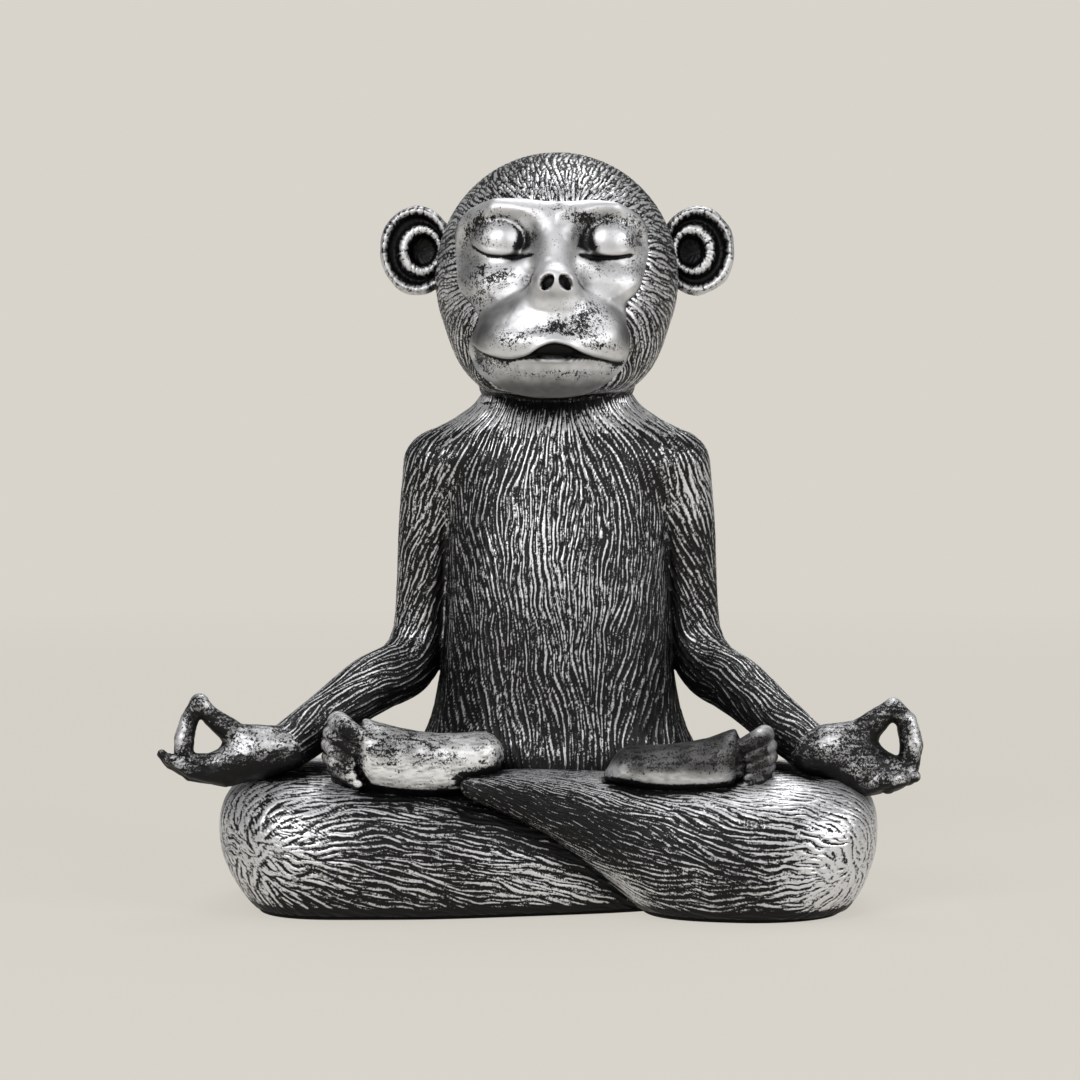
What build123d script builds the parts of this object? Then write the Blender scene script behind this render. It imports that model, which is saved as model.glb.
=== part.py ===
from build123d import *
import os
from math import acos, copysign, cos, degrees, pi, sin, sqrt

# A seated monkey figurine in cold-cast resin, cross-legged, with its hands on its knees.
# It faces -Y and stands on Z = 0. Left and right are the monkey's own, so left is +X.
# Each casting is a separate solid, bonded to its neighbours over a thin glue line.

# Base and castings
felt_thickness = 1.5
felt_inset = 2.0
bond_gap = 0.2
casting_wall = 6.0
overrun = 5.0

# Torso, from the underside of the castings up to the neck joint
torso_height = 155.5
torso_width = 76.0
torso_depth = 56.0
# Level, width, depth and backward shift of each torso section
torso_section_shares = (
    (0.000, 1.22, 1.16, 0.11),
    (0.080, 1.32, 1.27, 0.09),
    (0.185, 1.32, 1.28, 0.07),
    (0.280, 1.21, 1.21, 0.05),
    (0.363, 1.08, 1.12, 0.04),
    (0.473, 0.99, 1.07, 0.02),
    (0.633, 0.95, 1.02, 0.02),
    (0.775, 0.99, 0.96, 0.05),
    (0.890, 1.02, 0.89, 0.07),
    (0.935, 1.06, 0.85, 0.08),
    (0.965, 0.99, 0.81, 0.09),
    (1.000, 0.80, 0.76, 0.11),
)
torso_core_top_share = 0.74
# Locks of fur: how far each of them stands out round the torso, and how much of that each section has
lock_height = 0.4
lock_shares = (
    1.0, -0.8, 0.7, -1.0, 0.9, -0.6, 1.0, -0.9, 0.7, -0.8, 1.0, -0.7, 0.8, -1.0,
    0.9, -0.7, 1.0, -0.8, 0.7, -0.9, 1.0, -1.0, 0.9, -0.8, 0.8, -0.9, 1.0, -0.8,
)
lock_fade_shares = (0.0, 0.3, 0.6, 0.9, 1.0, 1.0, 1.0, 1.0, 0.6, 0.3, 0.1, 0.0)

# Head, from the neck joint up
head_height = 83.0
head_width = 78.4
skull_shift = 6.0
# Level, width, depth and backward shift of the neck, in shares of the torso's top
neck_section_shares = (
    (0.00, 1.00, 1.00, 1.00),
    (0.07, 0.86, 0.94, 1.00),
    (0.16, 0.83, 0.94, 0.95),
    (0.34, 0.80, 0.90, 0.80),
)
muzzle_width = 53.0
muzzle_height = 35.0
muzzle_reach = 50.0
muzzle_level_share = 0.255
nose_radius = 5.6
nose_level_share = 0.465
nose_set_back = 10.0
nose_bridge_radius = 5.2
nose_bridge_level_share = 0.68
nose_bridge_set_back = 23.5
nostril_radius = 1.8
nostril_spacing = 5.4
nostril_depth = 4.0
brow_ring_radius = 27.0
brow_thickness = 13.0
brow_level_share = 0.755
brow_forward = 5.0
eye_spacing = 30.0
eye_level_share = 0.63
eye_socket_radius = 12.0
eye_socket_set_forward = 3.0
eyelid_radius = 9.0
eyelid_set_back = 12.5
mouth_width = 49.0
mouth_depth = 10.0
mouth_level_share = 0.20
# Half of the mouth: place along the half width, rise of the upper and the lower lip
mouth_outline_shares = ((0.00, 0.080, -0.035), (0.33, 0.022, -0.040), (0.68, -0.030, -0.052))
mouth_corner_rise_share = 0.065

# Ears
ear_width = 24.5
ear_height = 29.0
ear_thickness = 8.0
ear_rim = 2.8
ear_rim_round = 1.3
ear_groove = 2.6
ear_groove_depth = 3.5
ear_hole_radius = 4.4
ear_hole_depth = 6.0
ear_offset_share = 1.18
ear_level_share = 0.625
ear_peg_radius = 3.0
ear_peg_length = 5.0

# Arms: radii at the joints, then the joints' places
shoulder_radius = 11.0
elbow_radius = 9.4
forearm_radius = 9.2
wrist_radius = 7.6
shoulder_place_shares = (0.513, 0.07, 0.885)
elbow_offset = (6.0, 2.0, -60.0)
wrist_place = {"left": (80.0, -38.0, 50.0), "right": (-85.0, -38.0, 51.0)}

# Hands: radii, then offsets from the wrist as (outwards, forwards, upwards)
palm_radius = 7.0
palm_edge_radius = 4.6
knuckle_radius = 3.5
finger_radius = 3.0
fingertip_radius = 2.1
thumb_radius = 5.0
thumb_tip_radius = 3.0
finger_spacing = 4.6
hand_reach = 50.0
palm_offset = {"left": (13.0, 4.0, -4.0), "right": (13.0, 4.0, -3.5)}
knuckle_offset = {"left": (21.0, 6.0, -6.5), "right": (24.0, 6.0, -6.0)}
fingertip_offset = {"left": (31.0, 8.0, -5.0), "right": (37.0, 8.0, -1.5)}
ring_foot_offset = {"left": (29.5, 4.5, -1.0), "right": (31.0, 5.0, -1.0)}
ring_peak_offset = {"left": (24.0, 5.5, 14.0), "right": (26.5, 5.5, 14.5)}
thumb_root_offset = {"left": (10.0, 4.0, 1.5), "right": (9.0, 4.0, 1.5)}

# Legs: each is one lobe, from the knee past the crossing at the middle
knee_height = 43.0
leg_depth = 96.0
leg_reach = {"left": 100.4, "right": 107.0}
leg_squareness = 2.7
leg_outline_points = 12
# Place along the reach, lowest and highest level in knee heights, front and back in depths
leg_section_shares = {
    "left": (
        (0.998, 0.46, 0.66, -0.33, -0.10),
        (0.976, 0.29, 0.80, -0.47, 0.02),
        (0.930, 0.06, 0.91, -0.57, 0.12),
        (0.850, -0.12, 0.975, -0.64, 0.21),
        (0.715, -0.26, 1.000, -0.69, 0.27),
        (0.520, -0.28, 0.990, -0.70, 0.33),
        (0.300, -0.12, 0.975, -0.67, 0.30),
        (0.140, 0.18, 0.975, -0.65, 0.16),
        (-0.010, 0.45, 0.985, -0.63, -0.02),
        (-0.150, 0.65, 0.990, -0.61, -0.22),
        (-0.270, 0.78, 0.970, -0.59, -0.36),
    ),
    "right": (
        (0.998, 0.46, 0.66, -0.31, -0.08),
        (0.976, 0.29, 0.80, -0.44, 0.04),
        (0.930, 0.08, 0.92, -0.52, 0.13),
        (0.850, -0.12, 0.980, -0.59, 0.21),
        (0.740, -0.26, 0.995, -0.63, 0.27),
        (0.540, -0.28, 0.960, -0.64, 0.33),
        (0.320, -0.28, 0.925, -0.62, 0.30),
        (0.100, -0.28, 0.900, -0.56, 0.16),
        (-0.100, -0.28, 0.850, -0.50, 0.06),
        (-0.260, -0.28, 0.720, -0.43, -0.04),
        (-0.380, -0.28, 0.500, -0.36, -0.12),
    ),
}
leg_core_size = (22.0, 30.0, 24.0)
leg_core_corner = 6.0
leg_core_place_share = 0.62

# Feet: each lies on the opposite thigh with its sole to the front
foot_length = 56.0
foot_height = 22.0
foot_depth = 20.0
foot_heel_place = {"left": (-18.0, -43.0, 45.0), "right": (16.0, -44.0, 44.5)}
toe_rise_share = 0.33
# Place along the foot, height and depth
foot_section_shares = (
    (0.010, 0.30, 0.34),
    (0.060, 0.60, 0.66),
    (0.180, 0.80, 0.92),
    (0.420, 0.74, 0.88),
    (0.660, 0.90, 0.94),
    (0.800, 1.00, 0.88),
    (0.920, 0.98, 0.70),
    (0.985, 0.80, 0.40),
)
toe_count = 5
toe_radius = 2.3
big_toe_radius = 2.9
toe_taper_share = 0.85
toe_root_shares = (0.94, 0.10)
toe_tip_shares = (0.80, 0.50)

# Base plate and vent plug
plate_length = 150.0
plate_width = 48.0
plate_thickness = 3.0
plate_corner = 16.0
plate_shift = (-2.0, -16.0)
plate_ledge = 3.0
vent_place_shares = (0.0, -0.12)
vent_radius = 6.0
plug_flange_radius = 8.5
plug_flange = 1.2
plug_length = 9.0

# Hidden registers
neck_dowel_radius = 7.0
neck_dowel_length = 26.0
shoulder_dowel_radius = 3.0
shoulder_dowel_length = 16.0
wrist_pin_radius = 1.5
wrist_pin_length = 16.0
foot_pin_radius = 1.5
foot_pin_length = 12.0
foot_pin_share = 0.55
fit_clearance = 0.1

# Levels and joints that follow from the sizes above
SIDES = {"left": 1, "right": -1}
base_level = felt_thickness
neck_level = base_level + torso_height
neck_width_share, neck_depth_share, neck_shift_share = torso_section_shares[-1][1:]
neck_half_width = neck_width_share * torso_width / 2
neck_half_depth = neck_depth_share * torso_depth / 2
neck_shift = neck_shift_share * torso_depth
skull_radius = head_width / 2
skull_centre = Vector(0, skull_shift, neck_level + head_height - skull_radius)
ear_level = neck_level + ear_level_share * head_height
skull_side = sqrt(skull_radius**2 - (ear_level - skull_centre.Z) ** 2)


def round_cone(start, end, start_radius, end_radius):
    """Tapered limb with a round end at each point, its flank tangent to both."""
    along = end - start
    lean = degrees(acos((start_radius - end_radius) / along.length))
    across = Plane(origin=start, z_dir=along).x_dir
    with BuildPart() as limb:
        with BuildSketch(Plane(origin=start, x_dir=along, z_dir=across)):
            with BuildLine():
                near = CenterArc((0, 0), start_radius, lean, 180 - lean)
                far = CenterArc((along.length, 0), end_radius, 0, lean)
                Line(near @ 0, far @ 1)
                Line(near @ 1, far @ 0)
            make_face()
        revolve(axis=Axis(start, along))
    return limb.part


def bun(middle, width, height):
    """Flat-topped round form whose edge is a half circle."""
    flat = (width - height) / 2
    with BuildPart() as form:
        with BuildSketch(Plane(origin=middle, x_dir=(1, 0, 0), z_dir=(0, -1, 0))):
            with BuildLine():
                CenterArc((flat, 0), height / 2, -90, 180)
                Polyline((flat, height / 2), (0, height / 2), (0, -height / 2), (flat, -height / 2))
            make_face()
        revolve(axis=Axis(middle, (0, 0, 1)))
    return form.part


def rod(start, end, radius, extra=0.0):
    """Round rod between two points, wider and longer by an extra amount."""
    margin = (end - start).normalized() * extra
    with BuildPart() as form:
        with BuildSketch(Plane(origin=start - margin, z_dir=end - start)):
            Circle(radius + extra)
        extrude(amount=(end - start + 2 * margin).length)
    return form.part


def torso_outline(centre, half_width, half_depth, lock_size):
    """Closed curve of an ellipse with the locks of fur as shallow waves."""
    points = []
    for step, share in enumerate(lock_shares):
        angle = 2 * pi * step / len(lock_shares)
        points.append(
            (
                centre[0] + (half_width + share * lock_size) * cos(angle),
                centre[1] + (half_depth + share * lock_size) * sin(angle),
            )
        )
    return Spline(*points, periodic=True)


def torso_form(grow=0.0):
    """Body outline as a loft of waved ellipses, grown outwards by an amount."""
    with BuildPart() as form:
        for (level_share, width_share, depth_share, shift_share), fade_share in zip(
            torso_section_shares, lock_fade_shares
        ):
            with BuildSketch(Plane.XY.offset(base_level + level_share * torso_height)):
                with BuildLine():
                    torso_outline(
                        (0, shift_share * torso_depth),
                        width_share * torso_width / 2 + grow,
                        depth_share * torso_depth / 2 + grow,
                        fade_share * lock_height,
                    )
                make_face()
        loft()
    return form.part


def leg_outline(centre, half_depth, half_height):
    """Closed curve of a rounded square, from the superellipse formula."""
    points = []
    for step in range(leg_outline_points):
        angle = 2 * pi * (step + 1 / 2) / leg_outline_points
        across = copysign(abs(cos(angle)) ** (2 / leg_squareness), cos(angle))
        up = copysign(abs(sin(angle)) ** (2 / leg_squareness), sin(angle))
        points.append((centre[0] + half_depth * across, centre[1] + half_height * up))
    return Spline(*points, periodic=True)


def leg_form(name, grow=0.0):
    """Folded leg as a loft of rounded squares along X, cut flat at the base level."""
    side = SIDES[name]
    section_shares = leg_section_shares[name]
    with BuildPart() as form:
        for index, (place_share, low_share, high_share, front_share, back_share) in enumerate(
            section_shares
        ):
            ends_beyond = {0: grow, len(section_shares) - 1: -grow}.get(index, 0)
            place = side * (place_share * leg_reach[name] + ends_beyond)
            centre = (
                (front_share + back_share) * leg_depth / 2,
                base_level + (high_share + low_share) * knee_height / 2,
            )
            with BuildSketch(Plane.YZ.offset(place)):
                with BuildLine():
                    leg_outline(
                        centre,
                        (back_share - front_share) * leg_depth / 2 + grow,
                        (high_share - low_share) * knee_height / 2 + grow,
                    )
                make_face()
        loft()
        split(bisect_by=Plane.XY.offset(base_level), keep=Keep.TOP)
    return form.part


def plate_form(extra, thickness):
    """Base plate: a rounded bar under the legs joined to the torso's own outline."""
    width_share, depth_share, shift_share = torso_section_shares[0][1:]
    inset = casting_wall - plate_ledge - extra
    with BuildPart() as form:
        with BuildSketch(Plane.XY.offset(base_level)):
            with Locations(plate_shift):
                RectangleRounded(
                    plate_length + 2 * extra, plate_width + 2 * extra, plate_corner + extra
                )
            with Locations((0, shift_share * torso_depth)):
                Ellipse(
                    width_share * torso_width / 2 - inset, depth_share * torso_depth / 2 - inset
                )
        extrude(amount=thickness)
    return form.part


def head_level(share):
    """Level at a share of the head's height above the neck joint."""
    return neck_level + share * head_height


def neck_form():
    """Neck as a loft from the torso's top up into the skull."""
    with BuildPart() as form:
        for level_share, width_share, depth_share, shift_share in neck_section_shares:
            with BuildSketch(Plane.XY.offset(head_level(level_share))):
                with Locations((0, shift_share * neck_shift)):
                    Ellipse(width_share * neck_half_width, depth_share * neck_half_depth)
        loft()
    return form.part


def mouth_opening():
    """Space between the lips: an outline in the face plane, run back into the muzzle."""
    level = head_level(mouth_level_share)
    half = mouth_width / 2
    upper = [(place * half, level + rise * mouth_width) for place, rise, _ in mouth_outline_shares]
    lower = [(place * half, level + rise * mouth_width) for place, _, rise in mouth_outline_shares]
    corner = (half, level + mouth_corner_rise_share * mouth_width)
    with BuildPart() as opening:
        with BuildSketch(Plane.XZ.offset(muzzle_reach - mouth_depth)):
            with BuildLine():
                Spline(*upper, corner)
                Spline(*lower, corner)
                mirror(about=Plane.YZ)
            make_face()
        extrude(amount=mouth_depth + overrun)
    return opening.part


def ear_form(side):
    """Ear facing the front: a rounded rim, a groove inside it, an inner ring and a hole."""
    face_centre = Vector(
        side * ear_offset_share * skull_radius, skull_shift - ear_thickness / 2, ear_level
    )
    face = Plane(origin=face_centre, x_dir=(1, 0, 0), z_dir=(0, -1, 0))
    with BuildPart() as cup:
        with BuildSketch(face):
            Ellipse(ear_width / 2, ear_height / 2)
        extrude(amount=-ear_thickness)
        fillet(cup.edges(), ear_rim_round)
        with BuildSketch(face):
            Ellipse(ear_width / 2 - ear_rim, ear_height / 2 - ear_rim)
            Ellipse(
                ear_width / 2 - ear_rim - ear_groove,
                ear_height / 2 - ear_rim - ear_groove,
                mode=Mode.SUBTRACT,
            )
        extrude(amount=-ear_groove_depth, mode=Mode.SUBTRACT)
        with BuildSketch(face):
            Circle(ear_hole_radius)
        extrude(amount=-ear_hole_depth, mode=Mode.SUBTRACT)
    return cup.part


def ear_peg_ends(side):
    """Ends of the peg on the inner edge of an ear, which enters the skull."""
    level = Vector(0, skull_shift, ear_level)
    inner = level + Vector(side * (skull_side - ear_peg_length), 0, 0)
    outer = level + Vector(side * (skull_side + ear_rim), 0, 0)
    return inner, outer


def arm_joints(name):
    """Shoulder, elbow and wrist centres of one arm."""
    side = SIDES[name]
    out_share, back_share, level_share = shoulder_place_shares
    shoulder = Vector(
        side * out_share * torso_width,
        back_share * torso_depth,
        base_level + level_share * torso_height,
    )
    out, back, up = elbow_offset
    return shoulder, shoulder + Vector(side * out, back, up), Vector(wrist_place[name])


def arm_form(name, grow=0.0):
    """Upper arm and forearm, joined at the elbow, grown outwards by an amount."""
    shoulder, elbow, wrist = arm_joints(name)
    with BuildPart() as form:
        add(round_cone(shoulder, elbow, shoulder_radius + grow, elbow_radius + grow))
        add(round_cone(elbow, wrist, forearm_radius + grow, wrist_radius + grow))
    return form.part


def hand_point(name, offset):
    """Point at an (outwards, forwards, upwards) offset from the wrist of one hand."""
    out, forward, up = offset[name]
    return arm_joints(name)[2] + Vector(SIDES[name] * out, -forward, up)


def palm_form(name):
    """Heel of the hand, from the wrist to the middle of the palm."""
    wrist = arm_joints(name)[2]
    return round_cone(wrist, hand_point(name, palm_offset), wrist_radius, palm_radius)


def finger_form(name):
    """Fingers and thumb: three lie open, the first meets the thumb in a ring."""
    palm = hand_point(name, palm_offset)
    knuckle = hand_point(name, knuckle_offset)
    fingertip = hand_point(name, fingertip_offset)
    ring_foot = hand_point(name, ring_foot_offset)
    ring_peak = hand_point(name, ring_peak_offset)
    thumb_root = hand_point(name, thumb_root_offset)
    with BuildPart() as form:
        add(round_cone(thumb_root, ring_peak, thumb_radius, thumb_tip_radius))
        add(round_cone(palm, ring_foot, thumb_radius, knuckle_radius))
        add(round_cone(ring_foot, ring_peak, finger_radius, fingertip_radius))
        for index in (-1, 0, 1):
            aside = Vector(0, index * finger_spacing, 0)
            add(round_cone(palm + aside / 2, knuckle + aside, palm_edge_radius, knuckle_radius))
            add(round_cone(knuckle + aside, fingertip + aside, finger_radius, fingertip_radius))
    return form.part


def foot_point(name, along_share, forward_share=0.0):
    """Point along the rising middle line of a foot, brought forward by a share of its depth."""
    rise = along_share**2 * toe_rise_share * foot_height
    along = -SIDES[name] * along_share * foot_length
    return Vector(foot_heel_place[name]) + Vector(along, -forward_share * foot_depth, rise)


def sole_form(name):
    """Foot without its toes, lying on its side: a loft from the heel to the ball."""
    with BuildPart() as form:
        for place_share, height_share, depth_share in foot_section_shares:
            middle = foot_point(name, place_share)
            with BuildSketch(Plane.YZ.offset(middle.X)):
                with Locations((middle.Y, middle.Z)):
                    Ellipse(depth_share * foot_depth / 2, height_share * foot_height / 2)
        loft()
    return form.part


def toe_forms(name):
    """Five toes one above the other, curled forwards over the sole."""
    pitch = (foot_height - 2 * toe_radius) / (toe_count - 1)
    toes = []
    for index in range(toe_count):
        radius = big_toe_radius if index == toe_count - 1 else toe_radius
        aside = Vector(0, 0, (index - (toe_count - 1) / 2) * pitch)
        root = foot_point(name, *toe_root_shares) + aside
        tip = foot_point(name, *toe_tip_shares) + aside
        toes.append(round_cone(root, tip, radius, toe_taper_share * radius))
    return toes


def near(form, centre, reach):
    """The part of a form within a box around a point, which a small piece is cut back to."""
    with BuildPart() as patch:
        add(form)
        with Locations(centre):
            Box(2 * reach, 2 * reach, 2 * reach, mode=Mode.INTERSECT)
    return patch.part


def shoulder_dowel_ends(name):
    """Ends of the dowel that crosses from the torso into the shoulder."""
    shoulder = arm_joints(name)[0]
    middle = Vector(SIDES[name] * torso_width / 2, shoulder.Y, shoulder.Z)
    half = Vector(shoulder_dowel_length / 2, 0, 0)
    return middle - half, middle + half


def wrist_pin_ends(name):
    """Ends of the steel pin that runs along the forearm through the wrist joint."""
    _, elbow, wrist = arm_joints(name)
    half = (wrist - elbow).normalized() * (wrist_pin_length / 2)
    return wrist - half, wrist + half


def foot_pin_ends(name):
    """Ends of the steel pin that stands in the thigh and holds the foot."""
    heel = Vector(foot_heel_place[name])
    middle = heel + Vector(-SIDES[name] * foot_pin_share * foot_length, 0, -foot_height / 4)
    half = Vector(0, 0, foot_pin_length / 2)
    return middle - half, middle + half


neck_dowel_middle = Vector(0, neck_shift, neck_level)
neck_dowel_half = Vector(0, 0, neck_dowel_length / 2)
neck_dowel_ends = (neck_dowel_middle - neck_dowel_half, neck_dowel_middle + neck_dowel_half)

# Forms that neighbouring castings are cut back to
torso_cut = torso_form(bond_gap)
leg_cut = {name: leg_form(name, bond_gap) for name in SIDES}
arm_cut = {name: arm_form(name, bond_gap) for name in SIDES}
plate_cut = plate_form(bond_gap, plate_thickness + bond_gap)
vent_place = (vent_place_shares[0] * torso_width, vent_place_shares[1] * torso_depth, base_level)
neck_socket = rod(*neck_dowel_ends, neck_dowel_radius, fit_clearance)
os.makedirs("parts", exist_ok=True)

# Torso casting: hollow and open at the underside, solid across the shoulders
core_top = base_level + torso_core_top_share * torso_height
torso_body = torso_form()
with BuildPart() as torso_core:
    add(torso_form(-casting_wall))
    split(bisect_by=Plane.XY.offset(core_top), keep=Keep.BOTTOM)

with BuildPart() as torso_casting:
    add(torso_body)
    add(torso_core.part, mode=Mode.SUBTRACT)
    add(plate_cut, mode=Mode.SUBTRACT)
    add(neck_socket, mode=Mode.SUBTRACT)
    for name in SIDES:
        add(
            rod(*shoulder_dowel_ends(name), shoulder_dowel_radius, fit_clearance),
            mode=Mode.SUBTRACT,
        )
torso_casting.part.label = "torso_casting"
export_step(torso_casting.part, "parts/torso_casting.step")

# Head casting: skull, neck, brow, sunken eyes with closed lids, muzzle, nose and mouth
face_front = skull_shift - skull_radius
head_core_floor = neck_dowel_ends[1].Z + casting_wall
head_core_top = head_level(1) - casting_wall
head_core_radius = (head_core_top - head_core_floor) / 2
nose_centre = Vector(0, nose_set_back - muzzle_reach, head_level(nose_level_share))
nose_bridge = Vector(0, nose_bridge_set_back - muzzle_reach, head_level(nose_bridge_level_share))
muzzle_middle = Vector(0, muzzle_width / 2 - muzzle_reach, head_level(muzzle_level_share))
eye_level = head_level(eye_level_share)
neck = neck_form()

with BuildPart() as head_casting:
    with Locations(skull_centre):
        Sphere(skull_radius)
    add(neck)
    with Locations((0, skull_shift - brow_forward, head_level(brow_level_share))):
        Torus(brow_ring_radius, brow_thickness / 2)
    for side in SIDES.values():
        with Locations((side * eye_spacing / 2, face_front - eye_socket_set_forward, eye_level)):
            Sphere(eye_socket_radius, mode=Mode.SUBTRACT)
        with Locations((side * eye_spacing / 2, face_front + eyelid_set_back, eye_level)):
            Sphere(eyelid_radius)
    add(bun(muzzle_middle, muzzle_width, muzzle_height))
    add(round_cone(nose_bridge, nose_centre, nose_bridge_radius, nose_radius))
    add(mouth_opening(), mode=Mode.SUBTRACT)
    for side in SIDES.values():
        tip = nose_centre + Vector(side * nostril_spacing / 2, -nose_radius, 0)
        nostril_end = tip + Vector(0, nostril_depth, 0)
        nostril_start = tip - Vector(0, overrun, 0)
        add(rod(nostril_start, nostril_end, nostril_radius), mode=Mode.SUBTRACT)
        add(rod(*ear_peg_ends(side), ear_peg_radius, fit_clearance), mode=Mode.SUBTRACT)
    with Locations((0, skull_shift, head_core_top - head_core_radius)):
        Sphere(head_core_radius, mode=Mode.SUBTRACT)
    add(neck_socket, mode=Mode.SUBTRACT)
head_casting.part.label = "head_casting"
export_step(head_casting.part, "parts/head_casting.step")

# Ears: each is cut to the side of the skull and held by its own peg
for name, side in SIDES.items():
    with BuildPart() as ear:
        add(ear_form(side))
        with Locations(skull_centre):
            Sphere(skull_radius + bond_gap, mode=Mode.SUBTRACT)
        add(rod(*ear_peg_ends(side), ear_peg_radius))
    ear.part.label = f"{name}_ear"
    export_step(ear.part, f"parts/{name}_ear.step")

# Arms and hands: cut to the torso and the knee, and sawn apart square at the wrist
for name in SIDES:
    _, elbow, wrist = arm_joints(name)
    saw_plane = Plane(origin=wrist, z_dir=wrist - elbow)
    wrist_socket = rod(*wrist_pin_ends(name), wrist_pin_radius, fit_clearance)
    knee_cut = near(leg_cut[name], wrist, hand_reach)
    with BuildPart() as arm:
        add(arm_form(name))
        split(bisect_by=saw_plane, keep=Keep.BOTTOM)
        add(torso_cut, mode=Mode.SUBTRACT)
        add(knee_cut, mode=Mode.SUBTRACT)
        add(
            rod(*shoulder_dowel_ends(name), shoulder_dowel_radius, fit_clearance),
            mode=Mode.SUBTRACT,
        )
        add(wrist_socket, mode=Mode.SUBTRACT)
    arm.part.label = f"{name}_arm"
    export_step(arm.part, f"parts/{name}_arm.step")

    with BuildPart() as hand:
        add(palm_form(name))
        split(bisect_by=saw_plane, keep=Keep.TOP)
        add(finger_form(name))
        add(knee_cut, mode=Mode.SUBTRACT)
        add(wrist_socket, mode=Mode.SUBTRACT)
    hand.part.label = f"{name}_hand"
    export_step(hand.part, f"parts/{name}_hand.step")

# Legs: the left one crosses in front of the right one, which is cut back to it
for name, side in SIDES.items():
    core_length, core_width, core_height = leg_core_size
    other_foot = "right" if name == "left" else "left"
    with BuildPart() as leg:
        add(leg_form(name))
        if name == "right":
            add(leg_cut["left"], mode=Mode.SUBTRACT)
        add(torso_cut, mode=Mode.SUBTRACT)
        with BuildSketch(Plane.XY.offset(base_level)):
            with Locations((side * leg_core_place_share * leg_reach[name], plate_shift[1])):
                RectangleRounded(core_length, core_width, leg_core_corner)
        extrude(amount=core_height, mode=Mode.SUBTRACT)
        add(plate_cut, mode=Mode.SUBTRACT)
        add(rod(*foot_pin_ends(other_foot), foot_pin_radius, fit_clearance), mode=Mode.SUBTRACT)
    leg.part.label = f"{name}_leg"
    export_step(leg.part, f"parts/{name}_leg.step")

# Feet: each is cut to the legs and the torso that it lies on, and kept off the arm above it
for name in SIDES:
    instep = foot_point(name, foot_pin_share)
    arm_above = "right" if name == "left" else "left"
    with BuildPart() as foot:
        add(sole_form(name))
        for toe in toe_forms(name):
            add(toe)
        for other in SIDES:
            add(near(leg_cut[other], instep, foot_length), mode=Mode.SUBTRACT)
        add(near(arm_cut[arm_above], instep, foot_length), mode=Mode.SUBTRACT)
        add(near(torso_cut, instep, foot_length), mode=Mode.SUBTRACT)
        add(rod(*foot_pin_ends(name), foot_pin_radius, fit_clearance), mode=Mode.SUBTRACT)
    foot.part.label = f"{name}_foot"
    export_step(foot.part, f"parts/{name}_foot.step")

# Base plate, let into the undersides of the torso and legs, with a vent for its plug
with BuildPart() as base_plate:
    add(plate_form(0, plate_thickness))
    with Locations(vent_place):
        Cylinder(
            vent_radius,
            plate_thickness,
            align=(Align.CENTER, Align.CENTER, Align.MIN),
            mode=Mode.SUBTRACT,
        )
        Cylinder(
            plug_flange_radius + fit_clearance,
            plug_flange,
            align=(Align.CENTER, Align.CENTER, Align.MIN),
            mode=Mode.SUBTRACT,
        )
base_plate.part.label = "base_plate"
export_step(base_plate.part, "parts/base_plate.step")

# Vent plug: a soft stopper with a flange, pushed in from below
with BuildPart() as vent_plug:
    with Locations(vent_place):
        Cylinder(
            plug_flange_radius,
            plug_flange - fit_clearance,
            align=(Align.CENTER, Align.CENTER, Align.MIN),
        )
        Cylinder(
            vent_radius - fit_clearance,
            plug_length,
            align=(Align.CENTER, Align.CENTER, Align.MIN),
        )
vent_plug.part.label = "vent_plug"
export_step(vent_plug.part, "parts/vent_plug.step")

# Felt: one sheet that follows the footprint of the torso and legs, a little inside it
footprint_forms = [torso_form(-felt_inset)] + [leg_form(name, -felt_inset) for name in SIDES]
with BuildPart() as base_felt:
    for form in footprint_forms:
        for footprint in form.faces().group_by(Axis.Z)[0]:
            extrude(footprint, amount=felt_thickness)
base_felt.part.label = "base_felt"
export_step(base_felt.part, "parts/base_felt.step")

# Hidden registers: the neck and shoulder dowels, and the steel pins of hands and feet
with BuildPart() as neck_dowel:
    add(rod(*neck_dowel_ends, neck_dowel_radius))
neck_dowel.part.label = "neck_dowel"
export_step(neck_dowel.part, "parts/neck_dowel.step")

for name in SIDES:
    with BuildPart() as shoulder_dowel:
        add(rod(*shoulder_dowel_ends(name), shoulder_dowel_radius))
    shoulder_dowel.part.label = f"{name}_shoulder_dowel"
    export_step(shoulder_dowel.part, f"parts/{name}_shoulder_dowel.step")

    with BuildPart() as wrist_pin:
        add(rod(*wrist_pin_ends(name), wrist_pin_radius))
    wrist_pin.part.label = f"{name}_wrist_pin"
    export_step(wrist_pin.part, f"parts/{name}_wrist_pin.step")

    with BuildPart() as foot_pin:
        add(rod(*foot_pin_ends(name), foot_pin_radius))
    foot_pin.part.label = f"{name}_foot_pin"
    export_step(foot_pin.part, f"parts/{name}_foot_pin.step")
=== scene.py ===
"""Dressed model of a seated monkey figurine in black cold-cast resin, dry-brushed in silver.

Shapes are worked out in millimetres and written to meshes in metres. The monkey faces -Y, and left
and right are its own, so left is +X.
"""

from __future__ import annotations

import logging
import math
from dataclasses import dataclass, field, replace
from enum import Enum
from typing import Callable

import bmesh
import bpy
import numpy as np
from mathutils import Matrix, Vector

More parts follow.
